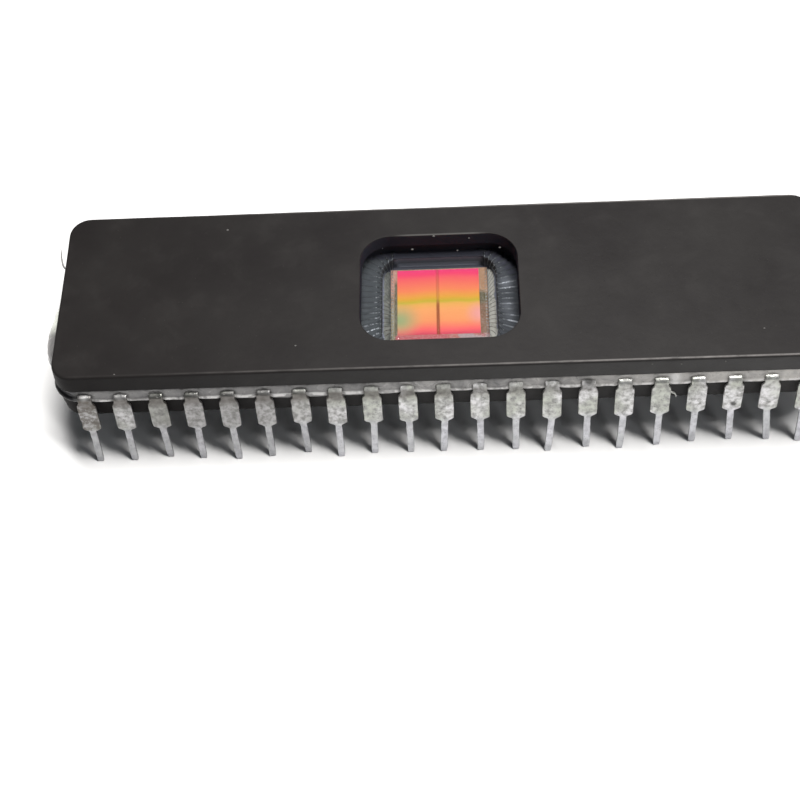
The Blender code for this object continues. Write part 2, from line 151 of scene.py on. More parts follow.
def ring(points, inset, z):
    return [(*(place - way * inset), z) for place, way in points]


# Place inside the outline, kept clear of the notch and its corners
def clearOfNotch(place, way, inset):
    spot = place - way * inset
    notch = lidShape["notch"]
    beside = abs(place.y) - notch
    if beside < 2 * inset and place.x > bodyHalf[0] - notch - 0.1:
        spot.x = min(spot.x, bodyHalf[0] - inset)
        if place.x > bodyHalf[0] - 0.01:
            spot.y = math.copysign(notch + inset + max(0.0, beside) / 2, place.y)
    return spot


# One mesh cut out of another
def cutOut(body, cutter):
    pieces = [addObject(mesh.name, mesh) for mesh in (body, cutter)]
    modifier = pieces[0].modifiers.new("cut", "BOOLEAN")
    modifier.operation = "DIFFERENCE"
    modifier.solver = "EXACT"
    modifier.object = pieces[1]
    evaluated = pieces[0].evaluated_get(bpy.context.evaluated_depsgraph_get())
    mesh = bpy.data.meshes.new_from_object(evaluated)
    for piece in pieces:
        bpy.data.objects.remove(piece, do_unlink=True)
    return mesh


def waver(place, size, seed=0.0):
    x, y, z = (*place, 0.0)[:3]
    return noise.noise(Vector((x / size, y / size, z / size + seed)))


def eased(share):
    share = min(1.0, max(0.0, share))
    return share * share * (3 - 2 * share)


# Materials: a node joins the tree of the sockets that feed it

def isSocket(value):
    return isinstance(value, bpy.types.NodeSocket)


def addNode(kind, inputs, **settings):
    tree = next(value.id_data for value in inputs.values() if isSocket(value))
    node = tree.nodes.new("ShaderNode" + kind)
    for key, value in settings.items():
        setattr(node, key, value)
    for key, value in inputs.items():
        if isSocket(value):
            tree.links.new(value, node.inputs[key])
        else:
            node.inputs[key].default_value = value
    return node


# A new material with its shader, and the place on the piece in millimetres
def newFinish(name, **constants):
    finish = bpy.data.materials.new(name)
    finish.use_nodes = True
    shader = finish.node_tree.nodes["Principled BSDF"]
    for key, value in constants.items():
        shader.inputs[key.replace("_", " ")].default_value = value
    metres = finish.node_tree.nodes.new("ShaderNodeTexCoord").outputs["Object"]
    return finish, shader, stretched(metres, 1 / mm, 1 / mm, 1 / mm)


def stretched(place, *shares):
    return addNode("VectorMath", {0: place, 1: shares}, operation="MULTIPLY").outputs[0]


def feed(shader, **inputs):
    for key, value in inputs.items():
        value.id_data.links.new(value, shader.inputs[key.replace("_", " ")])


def noiseOn(place, scale, detail=3.0, roughness=0.55, distortion=0.0):
    inputs = {"Vector": place, "Scale": scale, "Detail": detail, "Roughness": roughness,
              "Distortion": distortion}
    return addNode("TexNoise", inputs).outputs["Fac"]


def spotsOn(place, scale):
    return addNode("TexVoronoi", {"Vector": place, "Scale": scale}).outputs["Distance"]


def bricksOn(place, wide, high, mortar, colours, offset):
    inputs = {"Vector": place, "Scale": 1.0, "Mortar Size": mortar, "Brick Width": wide, "Row Height": high}
    inputs.update((key, (*colour, 1)) for key, colour in zip(("Color1", "Color2", "Mortar"), colours))
    return addNode("TexBrick", inputs, offset=offset).outputs


def between(value, low, high, outLow=0.0, outHigh=1.0, smooth=False):
    inputs = {"Value": value, "From Min": low, "From Max": high, "To Min": outLow, "To Max": outHigh}
    course = "SMOOTHSTEP" if smooth else "LINEAR"
    return addNode("MapRange", inputs, interpolation_type=course).outputs["Result"]


def compute(operation, *values):
    result = values[0]
    for value in values[1:]:
        result = addNode("Math", {0: result, 1: value}, operation=operation).outputs[0]
    return result


def product(*values):
    return compute("MULTIPLY", *values)


def total(*values):
    return compute("ADD", *values)


# 1 from full to less, and 0 below start and above end
def band(value, start, full, less, end):
    return product(between(value, start, full), between(value, end, less))


def unsigned(value):
    return compute("ABSOLUTE", value, 0.0)


# X, Y and Z of a place
def spreadOut(place):
    parts = addNode("SeparateXYZ", {0: place}).outputs
    return parts["X"], parts["Y"], parts["Z"]


# How near the place is to a spot, from 1 in its middle to 0 at its reach
def nearSpot(place, spot, reach):
    gap = addNode("VectorMath", {0: place, 1: spot}, operation="DISTANCE").outputs["Value"]
    return between(gap, reach, 0.0, smooth=True)


# A spot with a full middle, no stronger than its limit
def blot(place, spot, reach, gain, limit):
    return compute("MINIMUM", product(nearSpot(place, spot, reach), gain), limit)


def mixColours(share, first, second, blend="MIX"):
    first, second = (value if isSocket(value) else (*value, 1.0) for value in (first, second))
    return addNode("Mix", {0: share, 6: first, 7: second}, data_type="RGBA", blend_type=blend).outputs[2]


# Tones laid over a colour in turn, each with its share
def layered(colour, look, *layers):
    for key, share in layers:
        colour = mixColours(share, colour, look[key])
    return colour


def rampOf(share, stops):
    node = addNode("ValToRGB", {"Fac": share})
    ramp = node.color_ramp
    for element, (position, colour) in zip(ramp.elements, (stops[0], stops[-1])):
        element.position, element.color = position, (*colour, 1.0)
    for position, colour in stops[1:-1]:
        ramp.elements.new(position).color = (*colour, 1.0)
    return node.outputs["Color"]


def bumpFrom(shader, height, depth, strength=1.0):
    bump = addNode("Bump", {"Height": height, "Strength": strength, "Distance": depth * mm})
    feed(shader, Normal=bump.outputs["Normal"])


# Fades in from an outer to an inner half width, inside a rectangle whose half depth is 1 mm less
def insideWindow(sideX, sideY, outer, inner):
    return product(between(sideX, outer, inner), between(sideY, outer - 1, inner - 1))


# Share of shade inside the window along its back and in its far right corner
def backCorner(x, y):
    beyond = total(y, product(compute("SUBTRACT", x, 4.1), 1.33))
    return compute("MAXIMUM", product(between(beyond, 3.3, 4.0), between(x, 3.4, 3.8)), between(y, 3.9, 4.1))


# Pressed ceramic

ceramicLook = {
    "dark": (0.0124, 0.011, 0.0112),
    "light": (0.019, 0.0176, 0.0172),
    "dust": (0.045, 0.042, 0.041),
    "pore": (0.008, 0.008, 0.008),
    "rimHighlight": (0.17, 0.16, 0.155),
    "farRimHighlight": (0.09, 0.088, 0.085),
    "recess": (0.22, 0.215, 0.25),
    "recessBackShade": (0.075, 0.073, 0.085),
    "recessWallLight": (0.30, 0.295, 0.33),
    "windowWallReflection": (0.055, 0.052, 0.064),
    "lowWallLight": (0.20, 0.195, 0.24),
    "topSheen": (0.015, 0.125),
    "sideSheen": (0.025, 0.21),
    "gloss": (0.38, 0.56),
    "grain": 0.006,
}


def makeCeramic():
    look = ceramicLook
    finish, shader, place = newFinish("darkCeramic", Specular_IOR_Level=0.08)
    x, y, z = spreadOut(place)
    sideX, sideY = unsigned(x), unsigned(y)
    clouds = noiseOn(place, 0.11, 5.0, 0.6)
    patches = noiseOn(place, 0.45, 4.0, 0.6, 0.4)
    pores = spotsOn(place, 2.7)
    # Painted highlight along the long top rims, strongest towards the notch, and a painted highlight on the
    # window's far rim
    rim = product(band(sideY, 7.0, 7.08, 7.12, 7.2), between(z, 8.38, 8.44),
                  between(noiseOn(place, 0.7, 5.0), 0.3, 0.6, 0.35, 1.0), between(x, -21.0, 18.0, 0.04, 0.9))
    farRimHighlight = product(band(x, -3.2, -2.2, 2.6, 3.6), band(y, 4.42, 4.5, 4.6, 4.66),
                     between(z, 8.36, 8.4, 0.0, 0.6))
    # The window's wall is painted lighter as a painted reflection, and its lower part lighter still as
    # painted light, most to the left
    wall = product(insideWindow(sideX, sideY, 6.6, 6.5), band(z, 6.3, 6.4, 8.38, 8.45))
    lowWallLight = product(wall, between(z, 7.4, 6.9), between(x, 2.0, -3.0, 0.3, 1.0))
    # The recess is painted as a lighter, bluish copy of the ceramic that stands in for light, with painted
    # shade along its back and painted light on its back wall
    recess = product(between(sideX, 4.6, 4.5), between(sideY, 4.4, 4.3), band(z, 5.3, 5.4, 5.84, 5.86))
    recessLightAndShade = mixColours(between(y, 3.3, 3.5), look["recess"], look["recessBackShade"])
    recessLightAndShade = mixColours(between(y, 3.97, 4.03), recessLightAndShade, look["recessWallLight"])
    colour = mixColours(between(clouds, 0.3, 0.7), look["dark"], look["light"])
    colour = layered(colour, look,
                     ("dust", between(patches, 0.52, 0.8, 0.0, 0.16)),
                     ("dust", between(spotsOn(place, 1.3), 0.03, 0.05, 0.55, 0.0)),
                     ("pore", between(pores, 0.05, 0.1, 0.6, 0.0)),
                     ("rimHighlight", rim), ("farRimHighlight", farRimHighlight), ("windowWallReflection", wall), ("lowWallLight", lowWallLight))
    # The sheen grows from left to right, and is stronger on the lid's sides
    top = between(x, -27.0, 7.5, *look["topSheen"], smooth=True)
    sides = product(band(z, 6.6, 6.8, 8.3, 8.42), between(x, -27.0, 24.0, *look["sideSheen"]))
    feed(shader, Base_Color=mixColours(recess, colour, recessLightAndShade),
         Specular_IOR_Level=product(total(top, sides), between(wall, 0.0, 1.0, 1.0, 0.0)),
         Roughness=between(patches, 0.25, 0.75, *look["gloss"]))
    relief = total(noiseOn(place, 11.0, 3.0, 0.6), between(pores, 0.04, 0.12, -1.5, 0.0),
                   product(noiseOn(place, 1.6, 4.0), 2.0))
    bumpFrom(shader, relief, look["grain"])
    return finish


# Fused seal glass

glassLook = {
    "dark": (0.10, 0.098, 0.10),
    "light": (0.34, 0.33, 0.32),
    "right": (0.475, 0.455, 0.43),
    "shade": (0.02, 0.02, 0.022),
    "wet": (0.05, 0.048, 0.046),
    "line": (0.66, 0.65, 0.64),
    "lump": (0.66, 0.68, 0.62),
    "bubble": (0.03, 0.03, 0.032),
    "smear": (16.25, -7.6, 6.6),
    "leads": (0.15, 2.54),  # Where the middle lead stands, and the pitch
    "inside": (0.062, 0.062, 0.065),
    "insideLeft": (0.075, 0.078, 0.078),
    "insideBackShade": (0.042, 0.04, 0.049),
    "innerWallLight": (0.20, 0.195, 0.22),
    "insideHighlight": (0.30, 0.295, 0.31),
    "highlightSpots": ((4.9, 1.45, 0.75, 0.32), (4.95, -0.7, 0.75, 0.24), (5.15, -1.5, 0.6, 0.2)),
    "gloss": (0.12, 0.34),
    "ripple": 0.02,
}


def makeSealGlass():
    look = glassLook
    finish, shader, place = newFinish("fusedSealGlass", Specular_IOR_Level=0.6)
    x, y, z = spreadOut(place)
    sideX, sideY = unsigned(x), unsigned(y)
    streaks = noiseOn(place, 0.9, 5.0, 0.6, 0.6)
    bubbles = spotsOn(place, 5.0)
    onLong = between(sideY, 7.2, 7.3)
    # Painted light: paler towards the right-hand end
    litRight = product(between(x, 4.0, 25.0), between(streaks, 0.3, 0.5, 0.5, 1.0))
    # Painted highlight along the low edge of the bead on the long sides
    line = product(band(z, 5.95, 6.02, 6.14, 6.24), onLong,
                   between(noiseOn(place, 1.7, 2.0), 0.4, 0.55, 0.25, 1.0))
    lump = product(between(x, -27.5, -27.7), band(y, -2.4, -1.2, 1.0, 1.8))
    # Painted shade beside the leads on the long sides, where the glass meets them, stronger towards the left
    middleLead, pitch = look["leads"]
    fromLead = compute("PINGPONG", compute("SUBTRACT", x, middleLead), pitch / 2)
    wet = product(between(fromLead, 0.8, 0.6), onLong, between(streaks, 0.35, 0.6, 0.8, 0.2),
                  between(x, -10.0, 10.0, 1.0, 0.45))
    corner = product(between(x, -24.6, -26.2), between(y, -4.2, -5.4))
    colour = mixColours(between(streaks, 0.3, 0.7), look["dark"], look["light"])
    # Painted shade towards the left-hand end, a painted highlight beside one lead on the right, and painted
    # shade in the front left corner
    colour = layered(colour, look, ("right", litRight), ("dark", between(x, -2.0, -9.0, 0.0, 0.5)),
                     ("line", line), ("line", blot(place, look["smear"], 0.68, 1.5, 0.9)), ("lump", lump),
                     ("wet", wet), ("shade", corner))
    # The floor between the fingers, inside the window
    inside = insideWindow(sideX, sideY, 6.8, 6.6)
    patches = between(noiseOn(place, 1.3, 4.0), 0.35, 0.65, 0.2, 1.0)
    under = mixColours(product(between(x, -3.6, -4.2), patches), look["inside"], look["insideLeft"])
    # Painted highlights on the floor beside some fingers
    for atX, atY, reach, bright in look["highlightSpots"]:
        highlight = product(nearSpot(place, (atX, atY, fingerHeight), reach), bright)
        under = mixColours(highlight, under, look["insideHighlight"])
    # Painted light on the inner wall at the back, and painted shade along the back and in the far right
    # corner
    innerWallLight = product(between(z, 6.38, 6.34), band(y, 3.9, 4.0, 4.2, 4.3))
    under = layered(under, look, ("insideBackShade", backCorner(x, y)), ("innerWallLight", innerWallLight))
    colour = mixColours(inside, colour, under)
    colour = mixColours(between(bubbles, 0.05, 0.16, 0.7, 0.0), colour, look["bubble"])
    calm = compute("MAXIMUM", corner, inside)
    feed(shader, Base_Color=colour, Specular_IOR_Level=between(calm, 0.0, 1.0, 0.6, 0.1),
         Roughness=total(between(streaks, 0.3, 0.75, *look["gloss"]), product(inside, 0.35)))
    bumpFrom(shader, total(noiseOn(place, 2.2, 3.0), between(bubbles, 0.05, 0.2, -0.5, 0.0)), look["ripple"])
    return finish


# Dipped tin. Glints are painted highlights on fingers in the window: x, y, reach and how bright.

tinLook = {
    "dull": (0.30, 0.30, 0.29),
    "green": (0.46, 0.475, 0.43),
    "bright": (0.64, 0.635, 0.645),
    "pinTone": (0.51, 0.515, 0.56),
    "dark": (0.035, 0.034, 0.032),
    "tarnish": (0.12, 0.105, 0.09),
    "leftShade": (0.13, 0.125, 0.12),
    "lessShadeSpot": (-22.7, -8.0, 4.5),
    "pit": (0.06, 0.06, 0.057),
    "gloss": (0.30, 0.58),
    "relief": 0.022,
    "finger": (0.05, 0.05, 0.051),
    "fingerBright": (0.62, 0.61, 0.62),
    "fingerShade": (0.02, 0.02, 0.022),
    "bendHighlight": (0.92, 0.91, 0.9),
    "highlightedBends": ((-25.25, 1.0), (-22.71, 0.62)),
    "darkSpots": ((20.58, -7.98, 3.85, 0.34), (10.31, -7.5, 6.65, 0.66)),
    "glints": ((4.85, 1.2, 1.05, 1.0), (4.9, -0.45, 0.95, 0.6), (5.2, -2.0, 1.0, 0.8), (3.85, 3.3, 1.1, 0.6),
               (-4.4, 2.2, 0.8, 0.3), (-4.3, 0.2, 0.7, 0.6), (-4.5, -1.2, 0.9, 0.6), (-4.8, -2.6, 1.2, 1.0)),
}


def makeTin():
    look = tinLook
    finish, shader, place = newFinish("dippedTin")
    x, y, z = spreadOut(place)
    sideX, sideY = unsigned(x), unsigned(y)
    mottle = noiseOn(place, 2.6, 4.0, 0.6, 0.15)
    pits = spotsOn(place, 5.5)
    # Darker under the bends, more so towards the left-hand end. Painted shade darkens the leads towards the
    # left-hand end, less on the pins and round lead 2
    underBends = product(band(z, 5.3, 5.9, 6.3, 6.45), between(sideY, 7.4, 7.5),
                         between(x, -12.0, 16.0, 0.8, 0.15))
    leftward = product(between(x, -5.0, -13.0, 0.0, 0.58), between(z, 3.0, 3.7, 0.55, 1.0),
                       between(nearSpot(place, look["lessShadeSpot"], 2.7), 0.0, 1.0, 1.0, 0.5))
    corroded = product(between(x, -24.2, -24.5), between(mottle, 0.62, 0.42, 0.0, 0.7), between(z, 2.6, 3.4))
    colour = mixColours(between(noiseOn(place, 0.35, 2.0), 0.42, 0.58), look["green"], look["bright"])
    colour = mixColours(between(mottle, 0.36, 0.6), look["dull"], colour)
    colour = layered(colour, look, ("pinTone", between(z, 3.6, 2.9, 0.0, 0.6)),
                     ("pit", between(pits, 0.06, 0.2, 0.75, 0.0)),
                     ("tarnish", underBends), ("leftShade", leftward), ("tarnish", corroded))
    # Painted shade: dark spots in a dent on one pin and on the bend of another
    for *spot, reach in look["darkSpots"]:
        colour = mixColours(blot(place, spot, reach, 1.3, 0.85), colour, look["dark"])
    # Painted highlights on the bends of the first two leads
    for atX, share in look["highlightedBends"]:
        spot = blot(place, (atX, -7.55, 6.72), 0.62, 1.6, 1.0)
        colour = mixColours(product(spot, share), colour, look["bendHighlight"])
    # Fingers inside the window, dull but for painted glints
    inside = insideWindow(sideX, sideY, 6.9, 6.7)
    shine = compute("MAXIMUM", *(product(nearSpot(place, (atX, atY, fingerHeight), reach), bright)
                                 for atX, atY, reach, bright in look["glints"]))
    broken = between(noiseOn(place, 7.0, 3.0), 0.46, 0.58, between(x, -3.0, 3.0, 0.05, 0.4), 1.0)
    finger = mixColours(product(shine, broken), look["finger"], look["fingerBright"])
    finger = mixColours(product(backCorner(x, y), 0.8), finger, look["fingerShade"])
    dullBend = product(band(x, -10.5, -7.5, 11.2, 12.0), between(z, 5.8, 6.0), between(sideY, 7.0, 7.2))
    rough = between(mottle, 0.3, 0.7, *reversed(look["gloss"]))
    feed(shader, Base_Color=mixColours(inside, colour, finger),
         Roughness=total(rough, product(compute("MAXIMUM", dullBend, inside), 0.35)),
         Metallic=compute("SUBTRACT", between(dullBend, 0.0, 1.0, 0.88, 0.25), product(inside, 0.6)))
    bumpFrom(shader, total(mottle, between(pits, 0.05, 0.25, -0.8, 0.0)), look["relief"])
    return finish


wireLook = {"dark": (0.16, 0.16, 0.155), "light": (0.30, 0.30, 0.29), "gloss": (0.25, 0.45), "scuff": 0.004}


def makeWireMetal():
    finish, shader, place = newFinish("bondMetal", Metallic=1.0)
    scuffs = noiseOn(place, 18.0, 4.0)
    feed(shader, Base_Color=mixColours(scuffs, wireLook["dark"], wireLook["light"]),
         Roughness=between(scuffs, 0.3, 0.7, *wireLook["gloss"]))
    bumpFrom(shader, scuffs, wireLook["scuff"])
    return finish


# Clear lens: what isn't mirrored passes straight through

lensLook = {"tint": (0.88, 0.9, 0.92), "mirrorTint": (0.9, 0.92, 0.95), "mirror": 0.002, "edgeMirror": 0.6}


def makeLensGlass():
    look = lensLook
    finish, shader, place = newFinish("clearLens")
    nodes, links = finish.node_tree.nodes, finish.node_tree.links
    nodes.remove(shader)
    facing = nodes.new("ShaderNodeLayerWeight")
    facing.inputs["Blend"].default_value = 0.5
    edge = product(compute("POWER", facing.outputs["Facing"], 5.0), look["edgeMirror"])
    normalZ = spreadOut(nodes.new("ShaderNodeTexCoord").outputs["Normal"])[2]
    flatFace = between(unsigned(normalZ), 0.6, 0.9)
    smear = between(noiseOn(place, 0.6, 4.0), 0.4, 0.8, 0.02, 0.12)
    mirror = addNode("BsdfGlossy", {"Color": (*look["mirrorTint"], 1.0), "Roughness": smear})
    clear = nodes.new("ShaderNodeBsdfTransparent")
    clear.inputs["Color"].default_value = (*look["tint"], 1.0)
    share = product(total(edge, look["mirror"]), flatFace)
    mix = addNode("MixShader", {0: share, 1: clear.outputs[0], 2: mirror.outputs[0]})
    links.new(mix.outputs[0], nodes["Material Output"].inputs["Surface"])
    return finish


# Die: rows of cells under a film that shows bands of colour, set in a plain frame of circuits

dieLook = {
    "bands": (
        (0.0, (0.70, 0.065, 0.11)),
        (0.07, (0.98, 0.13, 0.13)),
        (0.2, (0.97, 0.32, 0.12)),
        (0.38, (0.99, 0.40, 0.13)),
        (0.46, (0.9, 0.44, 0.09)),
        (0.50, (0.61, 0.455, 0.03)),
        (0.56, (0.85, 0.40, 0.04)),
        (0.68, (1.0, 0.25, 0.10)),
        (0.86, (1.0, 0.125, 0.135)),
        (0.93, (1.0, 0.055, 0.165)),
        (1.0, (0.96, 0.06, 0.215)),
    ),
    "green": (0.33, 0.42, 0.19),
    "greenSpot": (-2.9, -1.35, 1.9, 0.95),
    "rose": (0.87, 0.36, 0.38),
    "roseSpot": (2.9, -0.9, 1.3, 0.8),
    "line": (0.30, 0.045, 0.006),
    "cellPitch": 0.055,
    "cells": ((1, 1, 1), (0.86, 0.88, 0.9), (0.55, 0.5, 0.5)),
    "warmth": (0.91, 0.88, 0.83),
    "blocks": ((0.66, 0.325, 0.17), (0.5, 0.215, 0.1), (0.09, 0.075, 0.03)),
    "stripNear": (0.53, 0.5, 0.52),
    "stripLeft": (0.175, 0.16, 0.085),
    "stripPink": (0.5, 0.225, 0.165),
    "stripDark": (0.09, 0.075, 0.03),
    "nearEdge": (0.44, 0.07, 0.08),
    "white": (0.36, 0.25, 0.235),
    "tracks": (0.75, 0.68, 0.6),
    "sawn": ((0.10, 0.10, 0.105), (0.20, 0.20, 0.205)),
}


def makeCellFilm():
    look = dieLook
    finish, shader, place = newFinish("cellFilm", Metallic=0.25, Specular_IOR_Level=0.35)
    x, y, _ = spreadOut(place)
    drift = product(compute("SUBTRACT", noiseOn(place, 0.28, 1.0), 0.5), 0.7)
    colour = rampOf(between(total(y, drift), *dieShape["arrayY"]), look["bands"])
    for key in ("green", "rose"):
        atX, atY, reach, strength = look[key + "Spot"]
        spot = product(nearSpot(place, (atX, atY, dieBox[1].z), reach), strength)
        colour = mixColours(spot, colour, look[key])
    fromSplit = unsigned(compute("SUBTRACT", x, dieShape["split"]))
    line = product(between(fromSplit, 0.16, 0.07), between(y, 0.5, -0.1, 0.3, 0.85))
    colour = mixColours(line, colour, look["line"])
    cells = bricksOn(place, look["cellPitch"], look["cellPitch"] / 2, 0.006, look["cells"], 0.0)
    colour = mixColours(0.35, colour, cells["Color"], "MULTIPLY")
    feed(shader, Base_Color=mixColours(1.0, colour, look["warmth"], "MULTIPLY"),
         Roughness=between(cells["Fac"], 0.0, 1.0, 0.24, 0.42))
    bumpFrom(shader, cells["Fac"], 0.002, 0.4)
    return finish


def makeCircuitStrip():
    look = dieLook
    finish, shader, place = newFinish("circuitStrip", Metallic=0.35, Specular_IOR_Level=0.6, Roughness=0.3)
    x, y, _ = spreadOut(place)
    blocks = bricksOn(place, 0.16, 0.07, 0.012, look["blocks"], 0.37)
    patches = noiseOn(place, 1.1, 3.0)
    nearer = product(between(y, 1.2, 0.3), between(x, 2.8, 2.9))
    colour = mixColours(nearer, blocks["Color"], look["stripNear"], "MULTIPLY")
    left = mixColours(between(y, -0.5, 1.8), look["stripLeft"], look["stripPink"])
    colour = mixColours(between(x, -3.0, -3.2, 0.0, 0.8), colour, left)
    # Dark routing beside the left array, some olive blocks on the right and a dark near edge with pale pads
    routing = product(band(x, -3.32, -3.24, -3.0, -2.9), between(y, 2.4, 1.8))
    oliveBlocks = product(nearSpot(place, (3.02, 0.55, dieBox[1].z), 0.9), 1.6)
    darker = compute("MAXIMUM", routing, oliveBlocks, between(patches, 0.6, 0.68, 0.0, 0.7))
    nearEdge = product(between(y, -2.66, -2.76), between(x, -3.3, -3.1))
    tracks = noiseOn(stretched(place, 1, 4, 1), 9.0, 2.0)
    colour = layered(colour, look, ("stripDark", compute("MINIMUM", darker, 0.92)),
                     ("nearEdge", product(nearEdge, between(x, 0.9, 0.4, 0.6, 0.95))),
                     ("white", product(nearEdge, between(x, 0.7, 1.1), between(patches, 0.42, 0.5))),
                     ("tracks", between(tracks, 0.55, 0.7, 0.0, 0.6)))
    feed(shader, Base_Color=colour)
    bumpFrom(shader, blocks["Fac"], 0.003, 0.5)
    return finish


def makeSawnSilicon():
    finish, shader, place = newFinish("sawnSilicon", Metallic=0.7)
    marks = noiseOn(stretched(place, 1, 1, 12), 3.0, 3.0)
    feed(shader, Base_Color=mixColours(marks, *dieLook["sawn"]),
         Roughness=between(marks, 0.3, 0.7, 0.35, 0.5))
    bumpFrom(shader, marks, 0.004)
    return finish


pasteLook = {"dark": (0.19, 0.185, 0.155), "light": (0.48, 0.44, 0.37), "gloss": (0.2, 0.45), "lumps": 0.012}


def makePaste():
    look = pasteLook
    finish, shader, place = newFinish("fusedPaste", Specular_IOR_Level=0.6)
    lumps = noiseOn(place, 2.0, 5.0, 0.6)
    share = total(lumps, between(spreadOut(place)[0], dieBox[0].x, dieBox[1].x, -0.12, 0.28))
    feed(shader, Base_Color=mixColours(between(share, 0.35, 0.75), look["dark"], look["light"]),
         Roughness=between(lumps, 0.3, 0.7, *look["gloss"]))
    bumpFrom(shader, lumps, look["lumps"])
    return finish


dustLook = {"dark": (0.06, 0.058, 0.056), "pale": (0.13, 0.125, 0.12)}


def makeDust():
    finish, shader, place = newFinish("dust", Roughness=0.8)
    feed(shader, Base_Color=mixColours(noiseOn(place, 14.0), dustLook["dark"], dustLook["pale"]))
    return finish


ceramic = makeCeramic()
sealGlass = makeSealGlass()
tin = makeTin()
bondMetal = makeWireMetal()
lensGlass = makeLensGlass()
sawnSilicon = makeSawnSilicon()
circuitStrip = makeCircuitStrip()
paste = makePaste()
dust = makeDust()
print("materials ready")


# Lid and base. A nick is its place along the front edge, its depth and its half length.

lidShape = {
    "corner": 1.6,
    "draft": 0.1,
    "topRound": 0.2,
    "lowRound": 0.06,
    "notch": 1.3,
    "step": 0.3,
    "waver": 0.016,
    "windowMiddle": (0.05, -0.15),
    "windowHalf": (5.7, 4.65),
    "windowCorner": 2.2,
    "windowEdge": 0.05,
    "hollowMargin": 0.45,
    "hollowEdge": 0.05,
    "nicks": ((8.9, 0.09, 0.5), (-7.0, 0.05, 0.4), (16.0, 0.07, 0.9), (22.9, 0.05, 0.5), (-17.2, 0.04, 0.5)),
}
baseShape = {
    "draft": 0.15,
    "lowRound": 0.2,
    "topRound": 0.05,
    "capInset": 1.0,
    "recessHalf": (4.2, 4.05),
    "recessCorner": 1.5,
    "recessDepth": 0.38,
    "recessRound": 0.1,
}
cutOver = 0.3  # How far a cutter reaches past the face that it opens


def nickDepth(x, y):
    if y > 0:
        return 0.0
    return sum(depth * max(0.0, 1 - abs(x - at) / width) for at, depth, width in lidShape["nicks"])


# A ring of the pressed outline with its slight waver, and with rim its nicks
def unevenRing(points, inset, z, rim=0.0):
    out = []
    for place, way in points:
        spot = (place.x, place.y, z)
        uneven = waver(spot, 2.2) + 0.5 * waver(spot, 0.44, 9.0)
        off = inset + lidShape["waver"] * uneven + rim * nickDepth(place.x, place.y)
        out.append((*(place - way * off), z))
    return out


def quarterRound(radius, steps):
    for i in range(steps + 1):
        angle = math.pi / 2 * i / steps
        yield radius * (1 - math.cos(angle)), radius * math.sin(angle)


def bodyOutline(step):
    return outline(bodyHalf, lidShape["corner"], step, lidShape["notch"])


def windowOutline(margin, step, counts=None):
    half = [size + margin for size in lidShape["windowHalf"]]
    corner = lidShape["windowCorner"] + margin
    return outline(half, corner, step, counts=counts, middle=lidShape["windowMiddle"])


def makeLid():
    shape = lidShape
    low, high = lidBox[0].z, lidBox[1].z
    points = bodyOutline(shape["step"])
    sideLow, sideHigh = low + shape["lowRound"], high - shape["topRound"]
    rings = [ring(points, shape["lowRound"], low)]
    for share in (0.0, 0.2, 0.4, 0.6, 0.8, 1.0):
        rings.append(unevenRing(points, shape["draft"] * share, sideLow + (sideHigh - sideLow) * share))
    for inset, rise in list(quarterRound(shape["topRound"], 6))[1:]:
        rings.append(unevenRing(points, shape["draft"] + inset, sideHigh + rise, rise / shape["topRound"]))
    lid = ringMesh("pressedLid", rings)
    window = windowOutline(0.0, 0.2)
    edge = shape["windowEdge"]
    rings = [ring(window, 0.06, hollowHigh - cutOver), ring(window, 0.0, high - edge)]
    rings += [ring(window, -inset, high - edge + rise) for inset, rise in list(quarterRound(edge, 4))[1:]]
    rings.append(ring(window, -edge, high + cutOver))
    lid = cutOut(lid, ringMesh("windowCut", rings))
    hollow = windowOutline(shape["hollowMargin"], 0.2)
    chamfer = shape["hollowEdge"]
    rings = [ring(hollow, 0.0, low - cutOver), ring(hollow, 0.0, hollowHigh - chamfer),
             ring(hollow, chamfer, hollowHigh)]
    lid = cutOut(lid, ringMesh("hollowCut", rings))
    addPiece("pressedLid", lid, ceramic, "dark_ceramic", "ceramic_lid", smooth=40, even=True)


def makeBase():
    shape = baseShape
    low, high = baseBox[0].z, baseBox[1].z
    points = bodyOutline(lidShape["step"])
    sideLow, sideHigh = low + shape["lowRound"], high - shape["topRound"]
    rings = [[(*clearOfNotch(place, way, shape["capInset"]), low) for place, way in points]]
    for inset, rise in reversed(list(quarterRound(shape["lowRound"], 6))):
        rings.append(unevenRing(points, shape["draft"] + inset, sideLow - rise))
    for share in (0.2, 0.4, 0.6, 0.8, 1.0):
        level = sideLow + (sideHigh - sideLow) * share
        rings.append(unevenRing(points, shape["draft"] * (1 - share), level))
    rings.append(ring(points, shape["topRound"], high))
    base = ringMesh("pressedBase", rings)
    recess = outline(shape["recessHalf"], shape["recessCorner"], 0.2)
    floor = high - shape["recessDepth"]
    fillet = shape["recessRound"]
    rings = [ring(recess, fillet, floor), ring(recess, fillet * 0.3, floor + fillet * 0.3),
             ring(recess, 0.0, floor + fillet), ring(recess, 0.0, high + cutOver)]
    base = cutOut(base, ringMesh("recessCut", rings))
    addPiece("pressedBase", base, ceramic, "dark_ceramic", "ceramic_base", smooth=40, even=True)


makeLid()
makeBase()
print("ceramic pressed")


# Leads: the same fan as in the frame, with dipped, rounded skins

